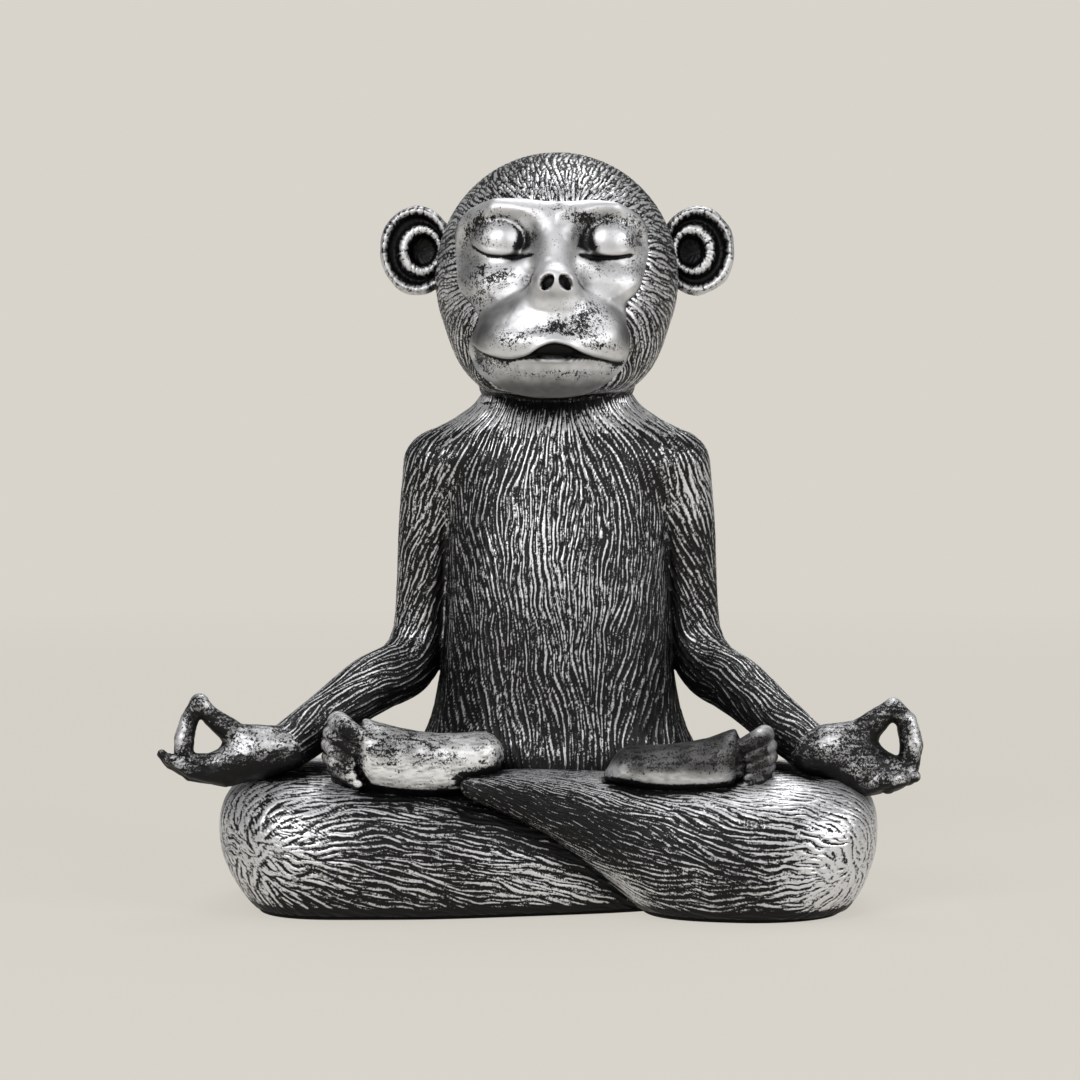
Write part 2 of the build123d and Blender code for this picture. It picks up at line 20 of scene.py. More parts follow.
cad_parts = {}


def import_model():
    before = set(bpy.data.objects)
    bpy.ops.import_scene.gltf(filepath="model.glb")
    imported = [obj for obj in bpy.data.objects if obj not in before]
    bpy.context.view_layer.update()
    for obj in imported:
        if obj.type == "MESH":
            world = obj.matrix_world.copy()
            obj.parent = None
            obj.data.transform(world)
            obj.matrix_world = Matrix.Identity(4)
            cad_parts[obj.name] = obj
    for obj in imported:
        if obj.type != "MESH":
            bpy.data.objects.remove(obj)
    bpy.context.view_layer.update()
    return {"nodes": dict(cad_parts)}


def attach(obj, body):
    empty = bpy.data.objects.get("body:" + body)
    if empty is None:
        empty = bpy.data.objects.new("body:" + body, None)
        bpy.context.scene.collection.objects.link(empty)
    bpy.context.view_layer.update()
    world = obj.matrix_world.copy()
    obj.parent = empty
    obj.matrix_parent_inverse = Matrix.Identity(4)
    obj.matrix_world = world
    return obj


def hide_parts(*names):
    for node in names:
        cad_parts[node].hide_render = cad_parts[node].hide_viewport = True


Array = np.ndarray
Distance = Callable[[Array], Array]

MM = 0.001
BODY = "root"
LOG = logging.getLogger("figurine")

# Further than anything on the figure, in millimetres
FAR = 1e3
# Keeps a length that divides from being zero
TINY = 1e-9
# Directions round a ring, half a degree apart
TURN = np.linspace(0.0, 2 * math.pi, 721)[:-1]
STRAIGHT_AHEAD = (0.0, -1.0, 0.0)

# Whole numbers that scramble the cells of the noise
CELL_FACTORS = (73856093, 19349663, 83492791)
SEED_FACTOR = 2654435761
SHIFTS_AND_FACTORS = ((15, 2246822519), (13, 3266489917))
LAST_SHIFT = 16
LARGEST = 0xFFFFFFFF


class Side(Enum):
    """The monkey's own sides, as the sign of X."""

    LEFT = 1
    RIGHT = -1

    @property
    def word(self) -> str:
        """Name that starts the piece's name."""
        return self.name.lower()


# Numbers and vectors


def blend(first: float | Array, second: float | Array, share: Array) -> Array:
    """Goes from one value at a share of 0 to another at a share of 1."""
    return first + (second - first) * share


def unit(vectors: Array, least: float = TINY) -> Array:
    """Brings vectors to a length of one, with a trace added to each length that divides."""
    return vectors / (np.linalg.norm(vectors, axis=-1, keepdims=True) + least)


def look_up(place: Array, keys: Array, table: Array) -> Array:
    """Numbers of a table's rows, last, at places between the rising keys of those rows."""
    return np.stack([np.interp(place, keys, column) for column in table.T], axis=-1)


def ring_of(radius: float, step: float) -> Array:
    """Angles of samples round a circle, about a step apart."""
    count = int(2 * math.pi * radius / step)
    return np.arange(count) / count * 2 * math.pi


def smooth_step(low: float, high: float, value: Array) -> Array:
    """Ramp from 0 at low to 1 at high, with flat ends; high may be the smaller of the two."""
    share = np.clip((value - low) / (high - low), 0.0, 1.0)
    return share * share * (3.0 - 2.0 * share)


# Forms as distances


def merge(first: Array, second: Array, soft: float | Array) -> Array:
    """Distance to two forms joined with a fillet.

    Args:
        first: Distance to the first form.
        second: Distance to the second form.
        soft: Width of the fillet.

    Returns:
        Distance to the joined form.
    """
    share = np.clip(0.5 + 0.5 * (second - first) / soft, 0.0, 1.0)
    return second * (1 - share) + first * share - soft * share * (1 - share)


def carve(form: Array, tool: Array, soft: float) -> Array:
    """Distance to a form with a tool's shape cut out of it, its edge rounded by a width."""
    return -merge(-form, tool, soft)


def egg(points: Array, centre: tuple, radii: tuple) -> Array:
    """Distance to an ellipsoid.

    Args:
        points: Points, with X, Y and Z last.
        centre: Middle of the ellipsoid.
        radii: Its radii along X, Y and Z.

    Returns:
        Distance at each point, negative inside.
    """
    offset = (points - np.asarray(centre, float)) / np.asarray(radii, float)
    reach = np.sqrt((offset**2).sum(-1))
    slope = np.sqrt(((offset / np.asarray(radii, float)) ** 2).sum(-1)) + TINY
    return reach * (reach - 1.0) / slope


def limb(points: Array, start: Array, end: Array, start_radius: float, end_radius: float) -> Array:
    """Distance to a tapered rod with round ends.

    Args:
        points: Points, with X, Y and Z last.
        start: Centre of the first end.
        end: Centre of the second end.
        start_radius: Radius at the first end.
        end_radius: Radius at the second end.

    Returns:
        Distance at each point, negative inside.
    """
    start = np.asarray(start, float)
    along = np.asarray(end, float) - start
    share = np.clip(((points - start) @ along) / (along @ along), 0.0, 1.0)
    nearest = start + share[..., None] * along
    radius = blend(start_radius, end_radius, share)
    return np.sqrt(((points - nearest) ** 2).sum(-1)) - radius


def bent_rod(points: Array, knots: Array) -> Array:
    """Distance to a bent rod with round ends.

    Args:
        points: Points, with X, Y and Z last.
        knots: X, Y, Z and radius of each of its joints.

    Returns:
        Distance at each point, negative inside.
    """
    distance = np.full(points.shape[:-1], FAR)
    for first, second in zip(knots[:-1], knots[1:]):
        distance = np.minimum(distance, limb(points, first[:3], second[:3], first[3], second[3]))
    return distance


def grain(points: Array, size: float, seed: int) -> Array:
    """Smooth lattice noise, used for hair, wrinkles and uneven paint.

    Args:
        points: Points, with X, Y and Z last.
        size: Size of one cell of the noise.
        seed: Picks one of many patterns.

    Returns:
        Noise from -1 to 1 at each point.
    """
    scaled = points / size
    cell = np.floor(scaled).astype(np.int64)
    share = scaled - cell
    share = share * share * (3.0 - 2.0 * share)
    total = np.zeros(points.shape[:-1])
    for corner in range(8):
        step = np.array([corner & 1, corner >> 1 & 1, corner >> 2 & 1])
        key = (cell + step) * CELL_FACTORS
        mixed = key[..., 0] ^ key[..., 1] ^ key[..., 2]
        mixed = (mixed ^ (seed * SEED_FACTOR)) & LARGEST
        for shift, factor in SHIFTS_AND_FACTORS:
            mixed = ((mixed ^ (mixed >> shift)) * factor) & LARGEST
        mixed = mixed ^ (mixed >> LAST_SHIFT)
        weight = np.prod(np.where(step, share, 1.0 - share), axis=-1)
        total += weight * (mixed / LARGEST)
    return total * 2.0 - 1.0


def spline(knots: Array, count: int) -> Array:
    """Smooth curve through rows of numbers, sampled evenly by row.

    Args:
        knots: One row for each knot.
        count: Number of samples.

    Returns:
        The sampled rows.
    """
    knots = np.asarray(knots, float)
    padded = np.vstack([2 * knots[0] - knots[1], knots, 2 * knots[-1] - knots[-2]])
    place = np.linspace(0, len(knots) - 1, count)
    index = np.minimum(place.astype(int), len(knots) - 2)
    share = (place - index)[:, None]
    before, start, end, after = (padded[index + step] for step in range(4))
    return 0.5 * (
        2 * start
        + (end - before) * share
        + (2 * before - 5 * start + 4 * end - after) * share**2
        + (3 * start - before - 3 * end + after) * share**3
    )


# The whole figure


@dataclass(frozen=True)
class Figure:
    """Main forms of the monkey, which the pieces take their surfaces from."""

    # Level, half width, half depth and backward shift of the trunk and neck
    trunk: tuple = (
        (1.5, 46.4, 32.5, 6.2),
        (13.9, 50.2, 35.6, 5.0),
        (30.3, 50.2, 35.8, 3.9),
        (45.0, 46.0, 33.9, 2.8),
        (57.9, 40.6, 31.4, 2.2),
        (75.1, 37.4, 30.0, 1.1),
        (99.9, 36.0, 28.6, 1.1),
        (122.0, 36.6, 26.9, 2.8),
        (139.9, 36.0, 24.9, 3.9),
        (148.0, 33.4, 23.2, 4.6),
        (155.0, 28.4, 21.4, 5.4),
        (160.0, 25.4, 20.4, 5.8),
        (166.0, 24.0, 20.0, 6.0),
        (176.0, 23.5, 20.0, 6.0),
    )
    # Joints of the left arm's middle line
    shoulder: tuple = (38.8, 3.9, 139.2)
    elbow: tuple = (45.2, 6.4, 79.1)
    wrists: dict = field(
        default_factory=lambda: {Side.LEFT: (80.0, -38.0, 50.0), Side.RIGHT: (-85.0, -38.0, 51.0)}
    )
    # Centre and radii of the head's rounded forms
    skull: tuple = ((0.0, 6.0, 200.0), (38.8, 39.5, 40.0))
    jaw: tuple = ((13.0, -8.0, 181.0), (19.0, 22.0, 19.0))
    muzzle: tuple = ((-1.8, -23.0, 177.0), (24.4, 24.6, 9.2))
    chin: tuple = ((-1.8, -20.5, 169.8), (25.0, 22.5, 10.4))
    # Ends and end radii of the pads beside the nose and of the slope down from it
    pad: tuple = ((4.0, -36.0, 189.5), (12.6, -31.0, 180.0), 6.4, 10.2)
    slope: tuple = ((-0.8, -37.5, 191.0), (-1.2, -31.5, 182.0), 6.8, 15.6)
    # Distance from the middle at which shoulder and trunk meet
    joint: float = 34.5

    def trunk_at(self, level: Array) -> Array:
        """Half width, half depth and shift of the trunk at each level, last in an array."""
        table = spline(np.array(self.trunk), 320)
        return look_up(level, table[:, 0], table[:, 1:])

    def trunk_distance(self, points: Array) -> Array:
        """Distance to the trunk and neck.

        Args:
            points: Points, with X, Y and Z last.

        Returns:
            Distance at each point.
        """
        sizes = self.trunk_at(points[..., 2])
        across = points[..., 0]
        deep = points[..., 1] - sizes[..., 2]
        reach = np.sqrt((across / sizes[..., 0]) ** 2 + (deep / sizes[..., 1]) ** 2)
        slope = np.sqrt((across / sizes[..., 0] ** 2) ** 2 + (deep / sizes[..., 1] ** 2) ** 2)
        side = reach * (reach - 1.0) / (slope + TINY)
        return np.maximum(side, points[..., 2] - self.trunk[-1][0])

    def arm_axis(self, side: Side, count: int) -> Array:
        """Middle line of an arm with its radius, from the shoulder to the wrist.

        Args:
            side: Which arm.
            count: Number of points.

        Returns:
            Rows of X, Y, Z and radius.
        """
        out = side.value
        sx, sy, sz = self.shoulder
        ex, ey, ez = self.elbow
        wx, wy, wz = self.wrists[side]
        wx *= out
        knots = np.array(
            [
                (sx, sy, sz, 11.2),
                (sx + 2.6, sy + 0.6, sz - 20.0, 10.2),
                (sx + 4.4, sy + 1.6, sz - 40.0, 9.2),
                (ex - 0.6, ey - 0.6, ez + 4.0, 9.2),
                (ex + 4.5, ey - 6.5, ez - 6.0, 9.5),
                (ex * 0.62 + wx * 0.38, ey * 0.6 + wy * 0.4, ez * 0.6 + wz * 0.4 + 0.5, 9.2),
                (ex * 0.3 + wx * 0.7, ey * 0.29 + wy * 0.71, ez * 0.29 + wz * 0.71, 8.2),
                (wx, wy, wz, 7.4),
            ]
        )
        axis = spline(knots, count)
        axis[:, 0] *= out
        return axis

    def arm_distance(self, points: Array, side: Side) -> Array:
        """Distance to an arm without its hand."""
        return bent_rod(points, self.arm_axis(side, 13))

    def upper_body(self, points: Array) -> Array:
        """Distance to the trunk and both arms, with soft shoulders and sharper armpits.

        Args:
            points: Points, with X, Y and Z last.

        Returns:
            Distance at each point.
        """
        distance = self.trunk_distance(points)
        soft = 2.0 + 12.0 * smooth_step(116.0, 142.0, points[..., 2])
        sx, sy, sz = self.shoulder
        for side in Side:
            out = side.value
            inner, outer = (out * (sx - 9), sy + 0.5, sz + 2.5), (out * sx, sy, sz)
            collar = limb(points, inner, outer, 10.5, 11.2)
            distance = merge(distance, np.minimum(self.arm_distance(points, side), collar), soft)
        return distance

    def head_distance(self, points: Array) -> Array:
        """Distance to the skull, jaw and muzzle without the small features of the face.

        Args:
            points: Points, with X, Y and Z last.

        Returns:
            Distance at each point.
        """
        mirrored = points.copy()
        mirrored[..., 0] = np.abs(mirrored[..., 0])
        skull = merge(egg(points, *self.skull), egg(mirrored, *self.jaw), 8.0)
        beside = mirrored.copy()
        beside[..., 0] = np.abs(points[..., 0] + 1.2)
        muzzle = merge(egg(points, *self.muzzle), limb(beside, *self.pad), 6.0)
        muzzle = merge(muzzle, limb(points, *self.slope), 5.0)
        return merge(skull, merge(muzzle, egg(points, *self.chin), 1.0), 3.5)

    def neck_and_head(self, points: Array) -> Array:
        """Distance to the head joined to the neck and shoulders."""
        return merge(self.head_distance(points), self.trunk_distance(points), 4.0)


# Surfaces as rows and columns


@dataclass
class Skin:
    """Surface of a piece as rows of points that run round it, with what its finish needs to know.

    Rows and columns keep their order through every step, so hair can be combed over them.
    """

    points: Array
    # Height within the strokes, amount of silver and its brightness, at each point; silver and
    # brightness both carry painted shade
    ridge: Array | None = None
    cover: Array | None = None
    tone: Array | None = None

    def along(self, values: Array) -> tuple[Array, Array]:
        """Change of values at the points from row to row, and from column to column."""
        across = (np.roll(values, -1, axis=1) - np.roll(values, 1, axis=1)) / 2
        return np.gradient(values, axis=0), across

    def normals(self) -> Array:
        """Unit normals, which point outwards because of the order of the columns."""
        down, across = self.along(self.points)
        return unit(np.cross(across, down))

    def sample(self, values: Array, row: Array, column: Array) -> Array:
        """Values between the points.

        Args:
            values: Values at the points.
            row: Row numbers with fractions.
            column: Column numbers with fractions.

        Returns:
            The values there.
        """
        rows, columns = values.shape[:2]
        row = np.clip(row, 0, rows - 1.001)
        column = np.mod(column, columns)
        top, left = row.astype(int), column.astype(int)
        down, across = row - top, column - left
        left = np.minimum(left, columns - 1)
        right = (left + 1) % columns
        if values.ndim == 3:
            down, across = down[..., None], across[..., None]
        upper = values[top, left] * (1 - across) + values[top, right] * across
        lower = values[top + 1, left] * (1 - across) + values[top + 1, right] * across
        return upper * (1 - down) + lower * down

    def blur(self, values: Array, rows: int, columns: int) -> Array:
        """Running mean over a block of rows and columns, twice over.

        Args:
            values: Values at the points.
            rows: Half height of the block.
            columns: Half width of the block.

        Returns:
            The smoothed values.
        """
        for _ in range(2):
            for axis, half, mode in ((0, rows, "edge"), (1, columns, "wrap")):
                width = [(0, 0)] * values.ndim
                width[axis] = (half + 1, half)
                total = np.cumsum(np.pad(values, width, mode=mode), axis=axis)
                size = 2 * half + 1
                high = np.take(total, range(size, total.shape[axis]), axis=axis)
                low = np.take(total, range(total.shape[axis] - size), axis=axis)
                values = (high - low) / size
        return values

    def comb(self, hair: Array, length: Array, spacing: float, seed: int) -> None:
        """Draws noise out along the hair into fine ridges, kept as the ridge values.

        Args:
            hair: Direction of the hair at each point.
            length: Length of the strands at each point.
            spacing: Distance from one strand to the next.
            seed: Picks one of many patterns.
        """
        down, across = self.along(self.points)
        dd, da, aa = (down * down).sum(-1), (down * across).sum(-1), (across * across).sum(-1)
        fd, fa = (hair * down).sum(-1), (hair * across).sum(-1)
        area = dd * aa - da * da + 1e-6
        row_step = (aa * fd - da * fa) / area
        column_step = (dd * fa - da * fd) / area
        pace = np.sqrt(dd * row_step**2 + 2 * da * row_step * column_step + aa * column_step**2)
        moves = np.stack([row_step, column_step], axis=-1) / (pace[..., None] + 1e-6)
        fine, coarse = 0.52 * spacing, 0.9 * spacing
        seeds = grain(self.points, fine, seed) + 0.5 * grain(self.points, coarse, seed + 1)
        rows, columns = np.meshgrid(
            np.arange(seeds.shape[0], dtype=float),
            np.arange(seeds.shape[1], dtype=float),
            indexing="ij",
        )
        steps = 9
        stride = length / (2 * steps)
        total = seeds.copy()
        for direction in (1, -1):
            row, column = rows.copy(), columns.copy()
            for _ in range(steps):
                move = self.sample(moves, row, column)
                row = row + direction * stride * move[..., 0]
                column = column + direction * stride * move[..., 1]
                total += self.sample(seeds, row, column)
        gap = np.median(np.sqrt(dd)), np.median(np.sqrt(aa))
        reach = [max(1, int(round(0.75 * spacing / one))) for one in gap]
        total = total - self.blur(total, *reach)
        spread = np.sqrt(self.blur(total**2, 4 * reach[0], 4 * reach[1])) + 1e-6
        self.ridge = np.clip(total / spread, -2.0, 2.5)

    def cap(self, first: Array | None = None, last: Array | None = None) -> None:
        """Closes both ends, each with a row that lies in one point.

        Args:
            first: Point before the first row, or else the middle of that row.
            last: Point after the last row, or else the middle of that row.
        """
        ends = []
        for row, place in ((0, first), (-1, last)):
            spot = self.points[row].mean(axis=0) if place is None else np.asarray(place, float)
            ends.append(np.broadcast_to(spot, self.points[:1].shape))
        self.points = np.concatenate([ends[0], self.points, ends[1]])
        for label in ("ridge", "cover", "tone"):
            setattr(self, label, np.pad(getattr(self, label), ((1, 1), (0, 0)), mode="edge"))

    def raise_hair(self, height: float | Array) -> None:
        """Lifts the surface along its normals by the ridge values.

        Args:
            height: Height from the bottom of a groove to the top of a ridge.
        """
        groove, crest, sunk = -0.9, 1.1, 0.6
        lift = smooth_step(groove, crest, self.ridge) - sunk
        self.points = self.points + self.normals() * (height * lift)[..., None]

    def to_object(self, name: str) -> bpy.types.Object:
        """Makes the mesh object, with the ridge, cover and tone values as attributes.

        Args:
            name: Name of the piece.

        Returns:
            The new object, in metres.
        """
        rows, columns = self.points.shape[:2]
        sheet = bmesh.new()
        bmesh.ops.create_grid(sheet, x_segments=columns, y_segments=rows - 1, size=0.5)
        mesh = bpy.data.meshes.new(name)
        sheet.to_mesh(mesh)
        sheet.free()
        spots = coordinates(mesh)
        column = np.rint((spots[:, 0] + 0.5) * columns).astype(int) % columns
        row = np.rint((spots[:, 1] + 0.5) * (rows - 1)).astype(int)
        mesh.vertices.foreach_set("co", (self.points[row, column] * MM).ravel())
        layers = {"ridge": self.ridge, "cover": self.cover, "tone": self.tone}
        write_layers(mesh, {label: values[row, column] for label, values in layers.items()})
        shell = bmesh.new()
        shell.from_mesh(mesh)
        bmesh.ops.remove_doubles(shell, verts=shell.verts, dist=2e-6)
        bmesh.ops.dissolve_degenerate(shell, edges=shell.edges, dist=1e-6)
        for face in shell.faces:
            face.smooth = True
        shell.to_mesh(mesh)
        shell.free()
        return add_object(name, mesh)


def coordinates(mesh: bpy.types.Mesh) -> Array:
    """Places of a mesh's vertices, one row each."""
    flat = np.zeros(len(mesh.vertices) * 3)
    mesh.vertices.foreach_get("co", flat)
    return flat.reshape(-1, 3)


def write_layers(mesh: bpy.types.Mesh, layers: dict[str, Array]) -> None:
    """Gives each vertex the numbers that the finishes read.

    Args:
        mesh: Mesh to write to.
        layers: Name of each attribute, with a number for each vertex.
    """
    for label, values in layers.items():
        layer = mesh.attributes.new(label, "FLOAT", "POINT")
        layer.data.foreach_set("value", values.astype(np.float32))


def add_object(name: str, data: bpy.types.ID) -> bpy.types.Object:
    """Puts a mesh, lamp or camera in the scene.

    Args:
        name: Name of the object.
        data: What it shows.

    Returns:
        The new object.
    """
    thing = bpy.data.objects.new(name, data)
    bpy.context.scene.collection.objects.link(thing)
    return thing


def meet(starts: Array, aims: Array, form: Distance, near: float, far: float) -> Array:
    """Points where rays first meet a form, walked in from outside.

    Args:
        starts: Points inside the form that the rays pass through.
        aims: Unit directions outwards.
        form: Distance to the form.
        near: Least distance from the start.
        far: Distance from the start at which the walk begins.

    Returns:
        The points that the rays meet.
    """
    steps, pace = 36, 0.8
    reach = np.full(starts.shape[:-1], far)
    for _ in range(steps):
        gap = form(starts + aims * reach[..., None])
        reach = np.clip(reach - pace * gap, near, far)
    return starts + aims * reach[..., None]


def spread_evenly(path: Array, step: Array | float) -> Array:
    """Places along a path at which samples lie a wanted distance apart.

    Args:
        path: Points along the path.
        step: Wanted distance between samples, at each point of the path.

    Returns:
        Positions from 0 to the last index of the path.
    """
    pieces = np.linalg.norm(np.diff(path, axis=0), axis=-1)
    step = np.broadcast_to(step, (len(path),))
    count = np.concatenate([[0], np.cumsum(pieces / ((step[1:] + step[:-1]) / 2))])
    samples = max(3, int(round(count[-1])))
    return np.interp(np.linspace(0, count[-1], samples), count, np.arange(len(path)))


def fineness() -> float:
    return 1.0


def flatten(vectors: Array, normals: Array) -> Array:
    """Unit vectors in a surface, left when the part along its unit normals is taken out."""
    return unit(vectors - (vectors * normals).sum(-1, keepdims=True) * normals)


def swell(points: Array, aims: Array, form: Distance, most: float | Array) -> Array:
    """Moves points outwards to a fuller form, up to a limit.

    Args:
        points: Points inside the form.
        aims: Unit directions outwards.
        form: Distance to the fuller form.
        most: Largest move.

    Returns:
        The moved points.
    """
    steps, pace = 14, 0.85
    reach = np.zeros(points.shape[:-1])
    for _ in range(steps):
        gap = form(points + aims * reach[..., None])
        reach = np.clip(reach - pace * gap, 0.0, most)
    return points + aims * reach[..., None]


# Legs and soles as tables


@dataclass(frozen=True)
class Fold:
    """Shape of a folded leg or a sole: a row of rounded squares across the figure."""

    side: Side
    # Distance from the middle, lowest and highest level, front and back
    rows: tuple
    # From 2 for an ellipse towards a square
    squareness: float = 2.7
    # Level of the felt's top, below which nothing reaches
    floor: float = 1.5

    def at(self, outwards: Array) -> Array:
        """Lowest and highest level, front and back at each distance from the middle.

        Args:
            outwards: Distances from the middle, towards the knee.

        Returns:
            An array with the four numbers last.
        """
        table = spline(np.array(self.rows), 400)
        table = table[np.argsort(table[:, 0])]
        return look_up(outwards, table[:, 0], table[:, 1:])

    def distance(self, points: Array) -> Array:
        """Rough distance to the form, near enough for shadows and paint.

        Args:
            points: Points, with X, Y and Z last.

        Returns:
            Distance at each point.
        """
        outwards = points[..., 0] * self.side.value
        first, last = self.rows[0][0], self.rows[-1][0]
        inner, outer = min(first, last), max(first, last)
        low, high, front, back = np.moveaxis(self.at(np.clip(outwards, inner, outer)), -1, 0)
        half_depth, half_height = (back - front) / 2, (high - low) / 2
        deep = np.abs(points[..., 1] - (front + back) / 2) / half_depth
        tall = np.abs(points[..., 2] - (low + high) / 2) / half_height
        reach = (deep**self.squareness + tall**self.squareness) ** (1 / self.squareness)
        section = (reach - 1) * np.minimum(half_depth, half_height)
        beyond = np.maximum(outwards - outer, inner - outwards)
        return np.where(beyond > 0, np.hypot(beyond, np.maximum(section, 0)), section)


LEFT_FOLD = Fold(
    Side.LEFT,
    (
        (-30.0, 40.5, 42.5, -52.0, -44.0),
        (-27.1, 37.0, 43.4, -57.0, -36.0),
        (-15.1, 30.5, 44.1, -58.6, -21.1),
        (-1.0, 21.5, 43.9, -60.5, -1.9),
        (14.1, 9.5, 43.4, -62.4, 15.4),
        (30.1, -3.5, 43.4, -64.3, 28.8),
        (52.2, -10.5, 44.1, -67.2, 31.7),
        (71.8, -9.7, 44.5, -66.2, 25.9),
        (85.3, -3.7, 43.4, -61.4, 20.2),
        (93.4, 4.1, 40.6, -54.7, 11.5),
        (98.0, 14.0, 35.9, -45.1, 1.9),
        (100.0, 21.0, 30.0, -32.0, -9.6),
        (100.4, 25.0, 26.0, -21.0, -20.0),
    ),
)
RIGHT_FOLD = Fold(
    Side.RIGHT,
    (
        (-44.0, 2.0, 12.0, -30.0, -18.0),
        (-40.7, -6.0, 22.0, -34.6, -11.5),
        (-27.8, -10.5, 32.0, -41.3, -3.8),
        (-10.7, -10.5, 37.5, -49.0, 5.8),
        (10.7, -10.5, 40.0, -54.8, 15.4),
        (34.2, -10.5, 41.3, -59.5, 28.8),
        (57.8, -10.5, 42.8, -61.4, 31.7),
        (79.2, -9.7, 44.3, -60.5, 25.9),
        (91.0, -3.7, 43.6, -56.6, 20.2),
        (99.5, 4.9, 41.1, -49.9, 12.5),
        (104.4, 14.0, 35.9, -42.2, 3.8),
        (106.6, 21.0, 30.0, -30.0, -8.0),
        (107.0, 25.0, 26.0, -20.0, -19.0),
    ),
)


# Furred pieces


@dataclass(frozen=True)
class Coat:
    """How the fur of a piece is modelled: strokes cut side by side into the resin."""

    spacing: float
    height: float
    seed: int
    # How far strokes turn aside, and the distance over which they do so
    wander: float
    wander_size: float = 9.0
    # Sizes of uneven patches in the silver, and how much they change it
    patch_sizes: tuple = (14.0, 5.0)
    patchiness: float = 0.16

    def style(self, skin: Skin, hair: Array, length: Array, form: Distance, cover: Array) -> None:
        """Combs and raises the fur, and says how much silver catches on it, with painted shade in
        its crevices.

        Args:
            skin: Surface to work on.
            hair: Direction of the hair.
            length: Length of the strokes.
            form: Distance to everything that may shade the piece.
            cover: How much silver the open parts take, from 0 to 1.
        """
        normals = skin.normals()
        hair = flatten(hair, normals)
        aside = np.cross(normals, hair)
        turn = self.wander * (
            grain(skin.points, self.wander_size, self.seed + 7)
            + 0.6 * grain(skin.points, self.wander_size / 2.7, self.seed + 8)
        )
        hair = flatten(hair + turn[..., None] * aside, normals)
        skin.comb(hair, length, self.spacing, self.seed)
        shade = openness(skin.points, normals, form)
        large, small = self.patch_sizes
        patches = 0.5 * grain(skin.points, large, self.seed + 9) + 0.5 * grain(
            skin.points, small, self.seed + 10
        )
        # Less and duller silver in crevices: partly where the dry brush misses them, partly painted
        # shade
        shaded_cover = cover * smooth_step(0.15, 0.85, shade)
        skin.cover = np.clip(shaded_cover + self.patchiness * patches, 0, 1)
        skin.tone = 0.55 + 0.45 * smooth_step(0.1, 0.6, skin.cover)
        skin.raise_hair(self.height)


def openness(points: Array, normals: Array, form: Distance) -> Array:
    """How open each point is to its surroundings, from 0 in a crevice to 1, by which the pieces
    paint shade into their crevices.

    Args:
        points: Surface points.
        normals: Unit normals there.
        form: Distance to everything that may shade them.

    Returns:
        The openness at each point.
    """
    closed = np.zeros(points.shape[:-1])
    for reach, weight in ((2.5, 0.5), (7.0, 0.35), (15.0, 0.3)):
        gap = form(points + normals * reach)
        closed += weight * np.clip(1.0 - gap / reach, 0.0, 1.0)
    return np.clip(1.0 - closed, 0.0, 1.0)


